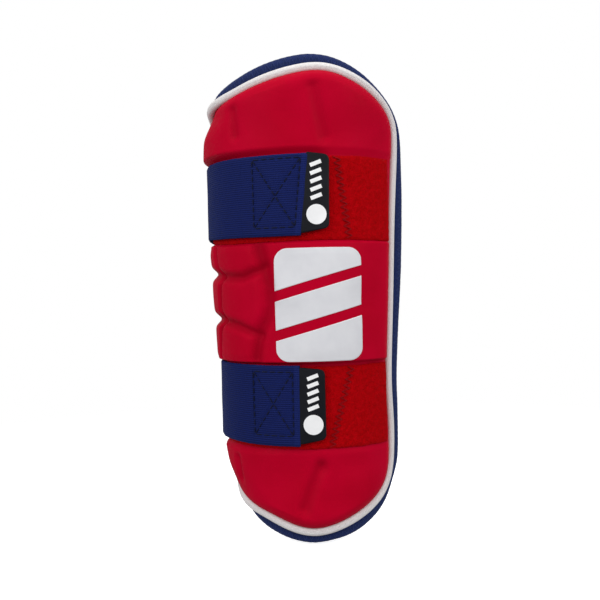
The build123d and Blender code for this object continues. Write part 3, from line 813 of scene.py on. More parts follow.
# ------------------------------------------------ cloth pass for padded fabric
def cloth_relief(name, points, pin, pressure, cap):
    """Drapes a sheet with cloth pressure; how far each point moved along its normal."""
    rows, cols, _ = points.shape
    size = rows * cols * 3
    frames = 20
    ob = build(name, points, quads(rows, cols))
    ob.data.update()
    normals = np.zeros(size)
    ob.data.vertices.foreach_get("normal", normals)
    normals = normals.reshape(-1, 3)
    if (normals[:, :2] * points.reshape(-1, 3)[:, :2]).sum() < 0:
        ob.data.flip_normals()
        normals = -normals
    group = ob.vertex_groups.new(name="pin")
    for i, weight in enumerate(pin.ravel()):
        if weight > 0.01:
            group.add([i], float(min(weight, 1)), "REPLACE")
    cloth = ob.modifiers.new("cloth", "CLOTH")
    settings = cloth.settings
    settings.quality = 5
    settings.mass = 0.25
    settings.tension_stiffness = settings.compression_stiffness = 12
    settings.shear_stiffness = 6
    settings.bending_stiffness = 0.4
    settings.use_pressure = True
    settings.uniform_pressure_force = pressure
    settings.vertex_group_mass = "pin"
    settings.effector_weights.gravity = 0
    settings.shrink_min = -0.012
    scene = bpy.context.scene
    scene.frame_start, scene.frame_end = 1, frames
    cloth.point_cache.frame_start, cloth.point_cache.frame_end = 1, frames
    for f in range(1, frames + 1):
        scene.frame_set(f)
    moved_ob = ob.evaluated_get(bpy.context.evaluated_depsgraph_get())
    moved, rest = np.zeros(size), np.zeros(size)
    moved_ob.data.vertices.foreach_get("co", moved)
    ob.data.vertices.foreach_get("co", rest)
    d = ((moved - rest).reshape(-1, 3) * normals).sum(1) * 1000
    mesh = ob.data
    bpy.data.objects.remove(ob)
    bpy.data.meshes.remove(mesh)
    scene.frame_set(1)
    d = np.nan_to_num(d)
    if np.abs(d).max() > cap:
        d = cap * np.tanh(d / cap)
    return d.reshape(rows, cols)


def resample(field, fi, fj):
    """Bilinear lookup of a coarse field at fractional rows fi and columns fj."""
    rows, cols = field.shape
    i = np.clip(fi.astype(int), 0, rows - 2)
    j = np.clip(fj.astype(int), 0, cols - 2)
    a, b = fi - i, fj - j
    return (field[i, j] * (1 - a) * (1 - b) + field[i + 1, j] * a * (1 - b)
            + field[i, j + 1] * (1 - a) * b + field[i + 1, j + 1] * a * b)


def skin_relief(points, crease, edge):
    """Cloth swelling of the skin, worked out on a coarse copy of its grid."""
    if not FINE:
        return np.zeros(edge.shape)
    rows, cols = edge.shape
    ri = np.unique(np.append(np.arange(0, rows, 6), rows - 1))
    ci = np.unique(np.append(np.arange(0, cols, 5), cols - 1))
    coarse = np.ix_(ri, ci)
    hold = np.maximum(np.clip(crease[coarse] * 1.5, 0, 1), (edge[coarse] < 5).astype(float))
    relief = cloth_relief("cover_cloth_pass", points[coarse], hold, pressure=4.0, cap=0.8)
    fi, fj = np.meshgrid(np.interp(np.arange(rows), ri, np.arange(len(ri))),
                         np.interp(np.arange(cols), ci, np.arange(len(ci))), indexing="ij")
    for _ in range(3):
        p = np.pad(relief, 1, mode="edge")
        relief = (p[:-2, 1:-1] + p[2:, 1:-1] + p[1:-1, :-2] + p[1:-1, 2:] + 2 * relief) / 6
    return resample(relief, fi, fj) * (1 - np.clip(crease, 0, 1)) * smooth(edge / 6)


# --------------------------------------------------------------------- face skin
WALL = closed_spline(edge_points(PIPE_XZ, PIPE_YZ, -2.2, WALL_R), 900)[0]
GRID_U, GRID_Z = outline_grid(WALL, row_step=0.55 if FINE else 1.0, cols=250 if FINE else 130,
                              cap_rows=12)
GRID_EDGE = edge_distance(GRID_U, GRID_Z, WALL)
SKIN, CREASE, SKIN_U = pad_surface(GRID_U, GRID_Z, GRID_EDGE)
RELIEF = skin_relief(SKIN, CREASE, GRID_EDGE)
SKIN[..., :2] += outward(SKIN_U)[..., :2] * RELIEF[..., None]


def face_skin():
    """Face grid, then the wall carried down to the base sheet as extra rings."""
    rings = 5
    rows, cols, _ = SKIN.shape
    ring = ring_index(rows, cols)
    u, z = GRID_U.reshape(-1)[ring], GRID_Z.reshape(-1)[ring]
    top = SKIN.reshape(-1, 3)[ring]
    foot = rise(u, z, shell_radius(BASE_R, u, z))
    verts, faces = [SKIN.reshape(-1, 3)], [quads(rows, cols)]
    uvs = [np.stack([SKIN_U * DEG * FACE_R, GRID_Z], -1).reshape(-1, 2)]
    # per-vertex masks for the skin colour: painted shade from the creases, painted sheen within 9 mm
    # of the edge
    crease_and_wall_shade, rim_sheen = [CREASE.ravel()], [(1 - smooth(GRID_EDGE / 9)).ravel()]
    previous = ring
    for k in range(1, rings + 1):
        f = k / rings
        verts.append(top * (1 - f) + foot * f)
        uvs.append(uvs[0][ring] + np.array([f * 6, 0]))
        # down the side wall the painted shade deepens towards the foot, and the painted sheen stays
        # at 0.6
        crease_and_wall_shade.append(np.full(len(ring), 0.15 + 0.5 * f))
        rim_sheen.append(np.full(len(ring), 0.6))
        current = rows * cols + (k - 1) * len(ring) + np.arange(len(ring))
        faces.append(np.stack([current, np.roll(current, -1), np.roll(previous, -1), previous], -1))
        previous = current
    piece("moulded_pad_skin", (np.vstack(verts), np.vstack(faces), np.vstack(uvs)), SKIN_MAT,
          replaces="face_cover",
          attributes={"crev": np.concatenate(crease_and_wall_shade), "rim": np.concatenate(rim_sheen)})


face_skin()

# -------------------------------------------------------------------- foam blocks
# name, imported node, blocks of (u from, u to, z from, z to)
FOAM = [
    ("top_dome_foam", "foam_top_dome", [(-80, 48, 83, 102)]),
    ("bottom_dome_foam", "foam_bottom_dome", [(-80, 48, -103, -84)]),
    ("front_block_foam", "foam_front_block", [(-23, 52, -28, 26)]),
    ("inner_flex_pods", "flex_pods_inner",
     [(-59, -31, 16.5, 26), (-59, -34, -6.5, 10), (-62, -38, -27, -17)]),
    ("outer_flex_pods", "flex_pods_outer",
     [(-96, -69, 15.5, 26), (-96, -69, -6.5, 10), (-96, -74, -27, -12)]),
    ("channel_foam_layer", "channel_foam", [(-96, 50, 35, 67), (-96, 50, -68, -37)]),
]
FOAM_COVER = 1.4     # depth of the foam under the skin
FOAM_MARGIN = (12.0, 11.0)  # degrees kept clear inside the wall, left and right


def foam_block(u0, u1, z0, z1):
    """Block that follows the skin's relief, softened at its border."""
    rows, cols = max(6, int((z1 - z0) / 2.5)), max(6, int((u1 - u0) / 2.6))
    (left, right), _low, _high = side_chains(WALL)
    zs = np.linspace(z0, z1, rows)
    u_rows = []
    for z in zs:
        a = max(u0, np.interp(z, *left) + FOAM_MARGIN[0])
        b = min(u1, np.interp(z, *right) - FOAM_MARGIN[1])
        if b < a + 1:
            a, b = (a + b) / 2 - 0.5, (a + b) / 2 + 0.5
        u_rows.append(np.linspace(a, b, cols))
    u, z = np.array(u_rows), np.repeat(zs[:, None], cols, 1)
    edge = edge_distance(u, z, WALL)
    i, j = np.arange(rows), np.arange(cols)
    border = np.minimum(np.minimum(i, i[::-1])[:, None], np.minimum(j, j[::-1])[None])
    radius = (face_radius(u, z)[0] - FOAM_COVER - corner_drop(u, z, edge)
              - 1.2 * (border == 0) - 0.35 * (border == 1))
    low = shell_radius(FOAM_R, u, z)
    radius = np.maximum(radius, low + 0.25)
    return slab(place(u, radius, z), place(u, low, z), (u * DEG * UV_R, z))


for foam_name, foam_node, blocks in FOAM:
    piece(foam_name, merge([foam_block(*block) for block in blocks]), FOAM_MAT,
          replaces=foam_node)

# ------------------------------------------------------------ piping and binding
EDGE_COUNT = 1000 if FINE else 500
BINDING_HALF_THICK, BINDING_HALF_WIDTH = 1.7, 3.2
OVERLOCK_PITCH = 3.1


def piping():
    path, _length = closed_spline(edge_points(PIPE_XZ, PIPE_YZ, -0.5, 46.9), EDGE_COUNT)
    # slimmer and set in down the right side, set right at the two left corners
    right = ramp(path[:, 0], 28, 10) * smooth((108 - np.abs(path[:, 2])) / 20)
    path[:, 0] -= 0.4 * right
    path[:, 0] += 0.8 * ramp(-path[:, 0], 30, 10) * ramp(-path[:, 2], 84, 10)
    path[:, 0] += 1.1 * ramp(-path[:, 0], 38, 8) * bell(path[:, 2] - 95, 6)
    shape = tube(path, outward(to_uz(path)[0]), 2.15, 2.2, 18, swell=(1 - 0.13 * right)[:, None])
    piece("edge_piping", shape, PIPING_MAT, replaces="piping_cover")


def rim_reach(points):
    """How much further out the rim stands down the right-hand edge."""
    x, z = points[:, 0], points[:, 2]
    return ramp(x, 26, 8) * (0.5 * smooth((75 - np.abs(z)) / 25)
                             + 0.8 * ramp(z, -25, 45) * smooth((104 - z) / 20))


def binding():
    """Oval knit binding, then the thread that zigzags over it on both faces."""
    path, length = closed_spline(edge_points(RIM_XZ, RIM_YZ, -2.7, 43.0), EDGE_COUNT)
    path[:, 0] += (rim_reach(path)
                   - 1.2 * ramp(path[:, 0], -10, 20) * ramp(-path[:, 2], 84, 16))
    out = outward(to_uz(path)[0])
    segments = 20
    run = np.linspace(0, length, EDGE_COUNT, endpoint=False)[:, None]
    a = np.linspace(0, 2 * math.pi, segments, endpoint=False)[None]
    pucker = (1 + 0.012 * np.sin(2 * math.pi * run / OVERLOCK_PITCH + 1.5 * np.sin(a))
              + 0.012 * lumps(run, a * 3, scale=11, seed=9))
    piece("sewn_edge_binding",
          tube(path, out, BINDING_HALF_THICK, BINDING_HALF_WIDTH, segments, swell=pucker),
          BINDING_MAT, replaces="edge_binding")

    normals, across = sweep_frame(path, out)
    s = np.linspace(0, EDGE_COUNT, 4200 if FINE else 2000, endpoint=False)
    i = s.astype(int) % EDGE_COUNT
    part = (s - s.astype(int))[:, None]
    centre, normals, across = (v[i] * (1 - part) + v[(i + 1) % EDGE_COUNT] * part
                               for v in (path, normals, across))
    phase = s / EDGE_COUNT * round(length / OVERLOCK_PITCH) * 2 * math.pi
    swing = 0.62 * np.arcsin(np.sin(phase)) / (math.pi / 2)
    height = BINDING_HALF_THICK * np.sqrt(1 - swing ** 2) + 0.06
    threads = [tube(centre + across * (BINDING_HALF_WIDTH * swing)[:, None]
                    + normals * (face * height)[:, None], normals, 0.15, 0.19, 6)
               for face in (1, -1)]
    piece("overlock_edge_thread", merge(threads), OVERLOCK_MAT)


piping()
binding()

# ----------------------------------------------------------------------- liner
QUILT = [(-52, 96, -98), (-4, 112, -114), (40, 92, -94)]  # angle, top z, bottom z
QUILT_PITCH, QUILT_STITCH = 3.4, 2.5


def liner():
    rim = closed_spline(edge_points(RIM_XZ, RIM_YZ, -4.6, 43.0), 700)[0]
    rim[:, 0] += 1.7 * rim_reach(rim)            # the liner reaches well into its binding
    u, z = outline_grid(rim, row_step=1.6, cols=84, cap_rows=8)
    edge = edge_distance(u, z, rim)
    quilt = np.minimum.reduce([path_distance(u * DEG * FACE_R, z, [(angle, top), (angle, bottom)])
                               for angle, top, bottom in QUILT])
    pin = np.maximum(bell(quilt, 2.2), (edge < 1.5).astype(float))
    if FINE:
        sheet = place(u, shell_radius(LINER_R + 0.05, u, z), z)
        puff = -np.abs(cloth_relief("liner_cloth_pass", sheet, pin, pressure=-4.0, cap=0.55))
    else:
        puff = -0.4 * (1 - pin)
    puff = puff * smooth(edge / 6) * (1 - bell(quilt, 1.6))
    round_in = 0.75 * (1 - smooth(edge / 4))
    inner = place(u, shell_radius(LINER_R, u, z) + puff + round_in + 0.55 * bell(quilt, 1.3), z)
    outer = place(u, shell_radius(43.95, u, z) - round_in, z)
    ob = piece("padded_back_liner", slab(outer, inner, (u * DEG * UV_R, z)), LINER_MAT,
               replaces="back_liner")
    soften = ob.modifiers.new("soften", "SUBSURF")
    soften.levels = soften.render_levels = 1


def quilt_stitches():
    parts = []
    for angle, top, bottom in QUILT:
        for z in np.arange(top - 4, bottom + 4, -QUILT_PITCH):
            radius = LINER_R + TAPER * z + 0.35
            parts.append(stitch(place(angle, radius, z), place(angle, radius, z - QUILT_STITCH),
                                -outward(angle), radius=0.28))
    piece("liner_quilt_stitch", merge(parts), OVERLOCK_MAT)


liner()
quilt_stitches()

# -------------------------------------------------------------- printed emblem
EMBLEM_X, EMBLEM_Z, EMBLEM_CORNER = (-18.6, 24.2), (-30.4, 25.4), 6.5
GAP_SLOPE = (50, 14)         # run and rise of the two slanted gaps
GAP_X = -22                  # x where the gap heights are given
GAP_Z = (1, -18.5)           # upper and lower gap
GAP_HALF = 2.5 / math.cos(math.atan2(GAP_SLOPE[1], GAP_SLOPE[0]))
FILM_EDGE, FILM_SWELL, FILM_SUNK = 0.14, 0.14, 0.35


def front_lookup(x, z):
    """Unrolled u and shell radius of the skin met straight on at (x, z)."""
    u = np.degrees(np.arcsin(np.clip(x / (FACE_R + TAPER * z), -1, 1)))
    for _ in range(6):
        radius, _crease = face_radius(u, z)
        tail = x / C45 - radius
        u = np.where(tail > 0, CORNER + tail / TAIL_R / DEG,
                     np.degrees(np.arcsin(np.clip(x / radius, -1, 1))))
    return u, radius


def gap_edge(x, gap, side):
    return GAP_Z[gap] + (x - GAP_X) * GAP_SLOPE[1] / GAP_SLOPE[0] + side * GAP_HALF


def emblem_band(x, low, high):
    cut = corner_cut(np.minimum(x - EMBLEM_X[0], EMBLEM_X[1] - x), EMBLEM_CORNER)
    low, high = np.maximum(low, EMBLEM_Z[0] + cut), np.minimum(high, EMBLEM_Z[1] - cut)
    rows = 60
    z = low[None] + (high - low)[None] * np.linspace(0, 1, rows)[:, None]
    x = np.repeat(x[None], rows, 0)
    u, radius = front_lookup(x, z)
    grid_row = np.interp(z.ravel(), GRID_Z[:, 0], np.arange(len(GRID_Z))).astype(int)
    lift = [np.interp(at, SKIN_U[r], RELIEF[r]) for at, r in zip(u.ravel(), grid_row)]
    radius = radius + np.array(lift).reshape(x.shape)
    swell = np.ones(x.shape)
    swell[[0, -1]] = 0
    swell[:, [0, -1]] = 0
    return slab(place(u, radius + FILM_EDGE + FILM_SWELL * swell, z),
                place(u, radius - FILM_SUNK, z), (x, z))


def emblem():
    t = np.linspace(0, 1, 110)
    spread = 0.5 * t + 0.25 * (1 - np.cos(math.pi * t))
    x = EMBLEM_X[0] + (EMBLEM_X[1] - EMBLEM_X[0]) * spread
    bands = [(gap_edge(x, 0, 1), EMBLEM_Z[1]),
             (gap_edge(x, 1, 1), gap_edge(x, 0, -1)),
             (EMBLEM_Z[0], gap_edge(x, 1, -1))]
    piece("printed_emblem_film", merge([emblem_band(x, *band) for band in bands]), PRINT_MAT,
          replaces="front_emblem")


emblem()

# ------------------------------------------------------------ straps and strips
STRIP_LEFT = -98             # angle of the pile strip's left end
LIMB_START = 18.0            # angle where the webbing starts on the limb
LIFT_OFF = 217.0             # angle where it leaves the limb for the pad corner
CORNER_EASE = 4.5            # length over which the pad corner is eased
ANCHOR_ANGLES, ANCHOR_HALF = (23, 50), 15.5
SELVEDGE_FROM = 0.93         # share of the half width beyond which the edge is serrated

ACROSS = np.linspace(-1, 1, 44 if FINE else 24)
WEB_THICK = (WEB_HALF_THICK * (0.35 + 0.65 * smooth((1 - np.abs(ACROSS)) / 0.045)))[None]
SERRATED = (np.abs(ACROSS) > SELVEDGE_FROM)[None]


def serration(run):
    return 0.12 * np.sin(2 * math.pi * run / 0.9)


def web_attributes(fold):
    """Fold values (a painted highlight over the tip's bend) and selvedge values for both sides of a
    webbing grid.
    """
    selvedge = np.repeat((1 - smooth((1 - np.abs(ACROSS)) / 0.06))[None], len(fold), 0)
    return {"fold": np.tile(fold.ravel(), 2), "selv": np.tile(selvedge.ravel(), 2)}


def tip_angle(strap, height):
    top, bottom = strap.slant
    return bottom + (top - bottom) * (height + WEB_HALF_WIDTH) / (2 * WEB_HALF_WIDTH)


def pile_radii(strap):
    """Underside and nominal top of the pile strip."""
    return strap.R - STACK + 0.05, strap.R - STACK + 1.25


def pile_strip(strap):
    base_r, top_r = pile_radii(strap)
    low, high = strap.loop
    right = math.degrees(math.asin(strap.strip_right / top_r))
    step = 0.45 if FINE else 1.0
    cols = int((right - STRIP_LEFT) * DEG * top_r / step)
    rows = int((high - low) / step)
    angle, z = np.meshgrid(np.linspace(STRIP_LEFT, right, cols), np.linspace(low, high, rows))
    taper = strap.strip_taper * ramp(-angle, 45, 40)
    z = high - (high - z) * (high - low - taper) / (high - low)
    edge = np.minimum(np.minimum(z - low - taper, high - z),
                      np.minimum(angle - STRIP_LEFT, right - angle) * DEG * top_r)
    waver = 0.16 * lumps(angle, z, scale=13, seed=21)
    fuzz = RNG.uniform(-0.17, 0.17, angle.shape)
    top = (top_r - 0.28 + 0.12 * lumps(angle * DEG * top_r, z, scale=4, seed=22)
           + fuzz * smooth(edge / 1.5) - 0.45 * (1 - smooth(edge / 1.4)))
    frayed_z = (z + waver * (1 - smooth(edge / 2.0)) * 0.9
                + RNG.uniform(-0.12, 0.12, angle.shape) * (edge < 0.6))
    # the zigzag seam pulls the pile down
    seam_top, seam_bottom = strap.zigzag
    seam_x = seam_top + (seam_bottom - seam_top) * (high - z) / (high - low)
    top = top - 0.32 * bell(top_r * np.sin(angle * DEG) - seam_x, 2.6)
    piece(f"{strap.name}_pile_strip",
          slab(arc_point(angle, top, frayed_z), arc_point(angle, base_r, frayed_z),
               (angle * DEG * top_r, z)),
          PILE_MAT, replaces=f"{strap.name}_loop_strip")


def zigzag_seam(strap):
    strokes, swing = 26, 1.8
    radius = pile_radii(strap)[1] - 0.12
    low, high = strap.loop
    centre, half = (low + high) / 2, (high - low) / 2 - 0.6
    x_top, x_bottom = strap.zigzag
    turns = []
    for i in range(strokes + 1):
        f = i / strokes
        x = x_top + (x_bottom - x_top) * f + (swing if i % 2 else -swing)
        turns.append(np.array((x, -math.sqrt(radius ** 2 - x * x), centre + half - 2 * half * f)))
    path, normals = [], []
    for a, b in zip(turns[:-1], turns[1:]):
        for q in np.linspace(0, 1, 7)[:-1]:
            point = a * (1 - q) + b * q
            up = np.array([point[0], point[1], 0]) / math.hypot(point[0], point[1])
            path.append(point + up * (-0.16 + 0.30 * math.sin(math.pi * q)))
            normals.append(up)
    piece(f"{strap.name}_zigzag_seam",
          tube(np.array(path), np.array(normals), 0.17, 0.24, 8, closed=False),
          ZIGZAG_MAT, replaces=f"{strap.name}_zigzag_stitch")


def web_arc(angles, radius):
    normals = arc_point(angles, 1.0, 0.0)[:, :2]
    return radius * normals, normals


def web_path(pad_r, limb_r):
    """Webbing centreline from limb to pad: points, normals, and the pad corner's angle."""
    step = 0.45 if FINE else 0.9
    run = math.sqrt(pad_r * pad_r - limb_r * limb_r)
    corner = LIFT_OFF + math.degrees(math.atan2(run, limb_r)) - 360
    lift_points, lift_normals = web_arc([LIFT_OFF], limb_r)
    heading = np.array([math.cos(LIFT_OFF * DEG), math.sin(LIFT_OFF * DEG)])
    pad_start = corner + CORNER_EASE / pad_r / DEG

    limb = web_arc(np.arange(LIMB_START, LIFT_OFF, step / limb_r / DEG), limb_r)
    q = np.arange(0, run - CORNER_EASE, step)[:, None]
    straight = lift_points + heading * q, np.repeat(lift_normals, len(q), 0)
    q = np.linspace(0, 1, int(2 * CORNER_EASE / step))[:-1, None]
    end_points, end_normals = web_arc([pad_start], pad_r)
    eased = ((1 - q) ** 2 * (lift_points + heading * (run - CORNER_EASE))
             + 2 * q * (1 - q) * (lift_points + heading * run) + q * q * end_points)
    turned = lift_normals * (1 - q) + end_normals * q
    bend = eased, turned / np.linalg.norm(turned, axis=1)[:, None]
    pad_angles = np.append(np.arange(pad_start, END_START, step / pad_r / DEG), END_START)
    points, normals = (np.vstack(rows)
                       for rows in zip(limb, straight, bend, web_arc(pad_angles, pad_r)))
    return points, normals, corner


def web_length(strap, points, normals, run, open_start):
    """A length of webbing and its attributes."""
    ragged = serration(run) + 0.08 * lumps(run, 0 * run, scale=9, seed=33)
    across = ACROSS[None] * (WEB_HALF_WIDTH + ragged[:, None] * SERRATED)
    wave = 0.05 * lumps(run[:, None], across, scale=17, seed=41)
    outer = points[:, None] + normals[:, None] * (WEB_THICK + wave)[..., None]
    inner = points[:, None] - normals[:, None] * WEB_THICK[..., None]
    angle = np.degrees(np.arctan2(points[:, 0], -points[:, 1]))
    tuck = (strap.tuck * bell(angle + 84, 14)[:, None]
            * np.maximum(-across, 0) / WEB_HALF_WIDTH)
    z = strap.z + across + droop(angle, strap.droop)[:, None] + tuck
    shape = slab(np.dstack([outer, z]), np.dstack([inner, z]), (run[:, None], across),
                 open_start, open_end=True)
    return shape, web_attributes(np.zeros(across.shape))


def hinge(strap, angle, radius, half_length):
    """Blend start and end, along the webbing from the limb anchor towards the tip."""
    a = angle * DEG
    centre = Vector((radius * math.sin(a), -radius * math.cos(a), strap.z))
    along = Vector((math.cos(a), math.sin(a), 0))
    shift = Vector((0, 0, Z_SHIFT))
    return ((centre - along * half_length + shift) / 1000,
            (centre + along * half_length + shift) / 1000)


def webbing(strap):
    """Seven lengths of webbing, one after the next."""
    pad_r, limb_r = strap.R - WEB_HALF_THICK, strap.limb_R + WEB_HALF_THICK
    points, normals, corner = web_path(pad_r, limb_r)
    gaps = np.linalg.norm(np.diff(points, axis=0), axis=1)
    run = np.concatenate([[0], np.cumsum(gaps)])
    cuts = [0]
    for angle, radius in [(55.0, limb_r), (93.5, limb_r), (136.5, limb_r), (187.5, limb_r),
                          ((corner - 73) / 2, pad_r), (-57.5, pad_r)]:
        cut = web_arc([angle], radius)[0]
        cuts.append(int(np.argmin(np.linalg.norm(points - cut, axis=1))))
    cuts.append(len(points) - 1)
    # part name, imported node it replaces, hinge angle, radius and half length
    lengths = [("root", "strap_anchor", None),
               ("back_a", "strap_back_a", (72, limb_r, 8)),
               ("back_b", "strap_back_b", (115, limb_r, 11)),
               ("back_c", None, (158, limb_r, 11)),
               ("side_a", "strap_back_c", (corner, pad_r, 9)),
               ("side_b", "strap_side_a", (-73, pad_r, 9)),
               ("end", "strap_side_b", (-42, pad_r, strap.end_blend))]
    before = "root"
    for k, (part, node, hinge_at) in enumerate(lengths):
        blend = None
        if hinge_at:
            part = f"{strap.name}_{part}"
            blend = (before, part, *hinge(strap, *hinge_at))
        before = part
        span = slice(cuts[k], cuts[k + 1] + 1)
        shape, attributes = web_length(strap, points[span], normals[span], run[span], k > 0)
        piece(f"{strap.name}_webbing_{k}", shape, WEB_MAT, blend=blend,
              replaces=node and f"{strap.name}_{node}", attributes=attributes)


def strap_end(strap):
    """Sewn strap end with its folded tip."""
    mid_r = strap.R - WEB_HALF_THICK
    rows = int((abs(END_START - strap.tip) * DEG * mid_r) / (0.4 if FINE else 0.9))
    height = ACROSS * WEB_HALF_WIDTH
    tip = tip_angle(strap, height)[None]
    angle = END_START + (tip - END_START) * np.linspace(0, 1, rows)[:, None]
    to_tip = (tip - angle) * DEG * strap.R
    run = angle * DEG * mid_r
    height = height[None] + serration(run) * SERRATED * np.sign(ACROSS[None])
    # the fold value raises the tip and also paints a highlight over its bend
    fold = smooth((3.4 - to_tip) / 0.7)
    tip_round = 1 - smooth(to_tip / 0.8)
    top = (mid_r + WEB_THICK + 0.30 * fold + 0.05 * lumps(angle, height, scale=14, seed=43)
           - 0.35 * tip_round)
    bottom = mid_r - WEB_THICK + 0.2 * tip_round
    sewn = np.minimum.reduce([path_distance(angle * DEG * FACE_R, height, side)
                              for side in crossed_box(*strap.box)])
    top = top - 0.26 * bell(sewn, 0.9)
    z = strap.z + height + droop(angle, strap.droop)
    piece(f"{strap.name}_webbing_end",
          slab(arc_point(angle, top, z), arc_point(angle, bottom, z), (run, height),
               open_start=True),
          WEB_MAT, ride=f"{strap.name}_end", replaces=f"{strap.name}_strap_end",
          attributes=web_attributes(fold))


def anchor_seam(strap):
    """Crossed box sewn through the strap's start, on the limb side."""
    radius = strap.limb_R - 0.05
    start, end = (angle * DEG * radius for angle in ANCHOR_ANGLES)
    box = crossed_box((start, ANCHOR_HALF), (end, ANCHOR_HALF),
                      (end, -ANCHOR_HALF), (start, -ANCHOR_HALF))

    def locate(run, height):
        a = run / radius
        return np.array([radius * math.sin(a), -radius * math.cos(a), strap.z + height])

    piece(f"{strap.name}_anchor_seam", seam(box, locate, -radius), OVERLOCK_MAT)


def box_seam(strap):
    """Crossed box on the strap end; the lower one also has a line inside the tip."""
    corners = [(strap.R * math.sin(angle * DEG), height) for angle, height in strap.box]
    runs = crossed_box(*corners)
    if strap.inner_line:
        runs.append(tuple((strap.R * math.sin(tip_angle(strap, height) * DEG) - 1.6, height)
                          for _x, height in corners[1:3]))

    def locate(x, height):
        drop = float(droop(math.degrees(math.asin(x / strap.R)), strap.droop))
        y = -math.sqrt((strap.R - 0.06) ** 2 - x * x)
        return np.array([x, y, strap.z + height + drop])

    piece(f"{strap.name}_box_seam", seam(runs, locate, strap.R), THREAD_MAT,
          ride=f"{strap.name}_end", replaces=f"{strap.name}_box_stitch")


def pull_tab(strap):
    """Rubber tab with rounded right corners and a softened rim."""
    thick, rim_width, rim_drop = 1.4, 0.7, 0.45
    half = strap.tab_half
    height = np.linspace(-half, half, 90)
    top, bottom = strap.tab_angles
    right_angle = bottom + (top - bottom) * (height + half) / (2 * half)
    right = strap.R * np.sin(right_angle * DEG) - corner_cut(half - np.abs(height), 3.0)
    left = strap.R * np.sin((tip_angle(strap, height) - 0.5) * DEG)
    t = np.linspace(0, 1, 50)
    x = left[:, None] + (right - left)[:, None] * t[None]
    height = np.repeat(height[:, None], 50, 1)
    edge = np.minimum(half - np.abs(height), right[:, None] - x)
    k = 1 - np.clip(edge / rim_width, 0, 1)
    bevel = rim_drop * (1 - np.sqrt(np.clip(1 - k ** 2, 0, 1)))
    y_outer = -np.sqrt((strap.R - bevel) ** 2 - x ** 2)
    y_inner = -np.sqrt((strap.R - thick + bevel) ** 2 - x ** 2)
    # the left side widens to meet the webbing, more so at the bottom
    widen = (1 - t)[None] * np.where(height > 0, 1.0, 2.0) * smooth(np.abs(height) / half)
    height = height + np.sign(height) * widen
    z = strap.z + height
    ends = [Vector((*arc_point(strap.tip + turn, strap.R - 0.7, strap.z).tolist()[:2],
                    strap.z + Z_SHIFT)) / 1000 for turn in (-0.25, 0.95)]
    piece(f"{strap.name}_rubber_tab",
          slab(np.dstack([x, y_outer, z]), np.dstack([x, y_inner, z]), (x, height)),
          TAB_MAT, blend=(f"{strap.name}_end", f"{strap.name}_tab", *ends),
          replaces=f"{strap.name}_pull_tab")


for strap in STRAPS:
    pile_strip(strap)
    zigzag_seam(strap)
    webbing(strap)
    strap_end(strap)
    anchor_seam(strap)
    box_seam(strap)
    pull_tab(strap)

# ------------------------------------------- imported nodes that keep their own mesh
KEPT = {"base_foam": BASE_MAT, "shield_plate": PLATE_MAT, "piping_cord": CORD_MAT}
for strap in STRAPS:
    KEPT[f"{strap.name}_hook_patch"] = HOOK_MAT
    KEPT[f"{strap.name}_tab_badge"] = BADGE_MAT
for node, mat in KEPT.items():
    NODES[node].data.materials.clear()
    NODES[node].data.materials.append(mat)

# ------------------------------------------------------- stage, in metres from here
MID_Z = Z_SHIFT / 1000.0
FLOOR_Z = (-125.0) / 1000 + MID_Z
FLOOR_RADII = [0.05, 0.12, 0.25, 0.45, 0.8, 1.3]
FLOOR_SIDES = 96


def floor_material():
    """Pale, faintly glowing floor that fades out away from the pad."""
    mat = Material("pale_floor")
    mat.finish(Base_Color=(0.93, 0.93, 0.93, 1), Roughness=0.9,
               Emission_Color=(1, 1, 1, 1), Emission_Strength=0.55)
    flat = mat.node("VectorMath", {0: mat.object_mm, 1: (1, 1, 0)}, operation="MULTIPLY")
    distance = mat.node("VectorMath", {0: flat.outputs[0]}, operation="LENGTH").outputs["Value"]
    fade = mat.remap(distance, source=(120, 520), target=(1, 0))
    clear = mat.node("BsdfTransparent")
    mix = mat.node("MixShader", {0: fade, 1: clear.outputs[0], 2: mat.shader.outputs[0]})
    mat.feed(mat.tree.nodes["Material Output"].inputs[0], mix.outputs[0])
    return mat.material


def floor_disc():
    verts = [(0, 0, FLOOR_Z)]
    for r in FLOOR_RADII:
        for k in range(FLOOR_SIDES):
            a = 2 * math.pi * k / FLOOR_SIDES
            verts.append((r * math.cos(a), r * math.sin(a), FLOOR_Z))
    faces = [(0, 1 + k, 1 + (k + 1) % FLOOR_SIDES) for k in range(FLOOR_SIDES)]
    for j in range(len(FLOOR_RADII) - 1):
        a = 1 + j * FLOOR_SIDES
        b = a + FLOOR_SIDES
        for k in range(FLOOR_SIDES):
            k2 = (k + 1) % FLOOR_SIDES
            faces.append((a + k, b + k, b + k2, a + k2))
    mesh = bpy.data.meshes.new("floor")
    mesh.from_pydata(verts, [], faces)
    floor = bpy.data.objects.new("floor", mesh)
    bpy.context.scene.collection.objects.link(floor)
    mesh.materials.append(floor_material())
    floor.visible_diffuse = False
    floor.visible_glossy = False


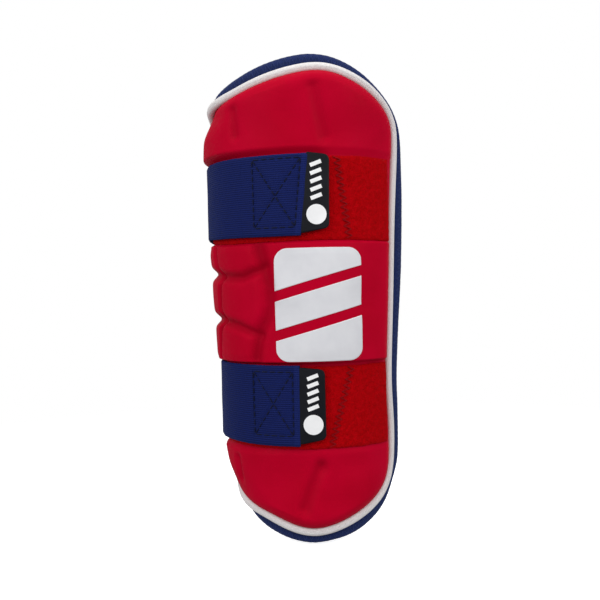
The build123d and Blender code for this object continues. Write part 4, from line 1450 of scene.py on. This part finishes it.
def world():
    """Soft fill light, with plain white where the camera sees past the floor."""
    studio = bpy.data.worlds.new("studio")
    bpy.context.scene.world = studio
    studio.use_nodes = True
    nodes, links = studio.node_tree.nodes, studio.node_tree.links
    fill = nodes["Background"]
    path = nodes.new("ShaderNodeLightPath")
    backdrop = nodes.new("ShaderNodeBackground")
    mix = nodes.new("ShaderNodeMixShader")
    for background, color, strength in ((fill, (0.96, 0.97, 1.0, 1), 0.42),
                                        (backdrop, (1, 1, 1, 1), 1.0)):
        background.inputs["Color"].default_value = color
        background.inputs["Strength"].default_value = strength
    links.new(path.outputs["Is Camera Ray"], mix.inputs[0])
    links.new(fill.outputs[0], mix.inputs[1])
    links.new(backdrop.outputs[0], mix.inputs[2])
    links.new(mix.outputs[0], nodes["World Output"].inputs[0])


# name, place (z from mid-length), width, height, power in watts
LIGHTS = [
    ("soft_left", (-0.70, -0.60, 0.42), 0.55, 0.9, 5.6),
    ("soft_right", (0.72, -0.58, 0.40), 0.5, 0.9, 5.0),
    ("soft_front", (0.0, -1.1, 0.45), 0.8, 0.6, 2.4),
    ("soft_back", (0.15, 0.95, 0.4), 0.9, 0.9, 5.5),
    ("soft_top", (0.0, 0.0, 0.85), 0.7, 0.7, 2.4),
]


def area_light(name, offset, width, height, power):
    light = bpy.data.lights.new(name, "AREA")
    light.shape = "RECTANGLE"
    light.size, light.size_y = width, height
    light.energy = power
    ob = bpy.data.objects.new(name, light)
    bpy.context.scene.collection.objects.link(ob)
    x, y, z = offset
    ob.location = Vector((x, y, MID_Z + z))
    ob.rotation_mode = "QUATERNION"
    aim = Vector((0, 0, MID_Z)) - Vector((x, y, MID_Z + z))
    ob.rotation_quaternion = aim.to_track_quat("-Z", "Y")


def camera():
    """Looks along +Y at the face, rolled a little."""
    roll = 0.025     # radians
    data = bpy.data.cameras.new("camera")
    ob = bpy.data.objects.new("camera", data)
    scene = bpy.context.scene
    scene.collection.objects.link(ob)
    data.lens, data.sensor_width = 47.58, 36.0
    data.clip_start, data.clip_end = 0.01, 20
    turn = Matrix(((math.cos(roll), math.sin(roll), 0),
                   (0, 0, -1),
                   (-math.sin(roll), math.cos(roll), 0)))
    ob.matrix_world = Matrix.Translation((-0.0062, -0.440, MID_Z)) @ turn.to_4x4()
    scene.camera = ob
    scene.view_settings.view_transform = "Standard"
    scene.view_settings.look = "None"


floor_disc()
world()
for light_spec in LIGHTS:
    area_light(*light_spec)
camera()

bpy.context.view_layer.update()
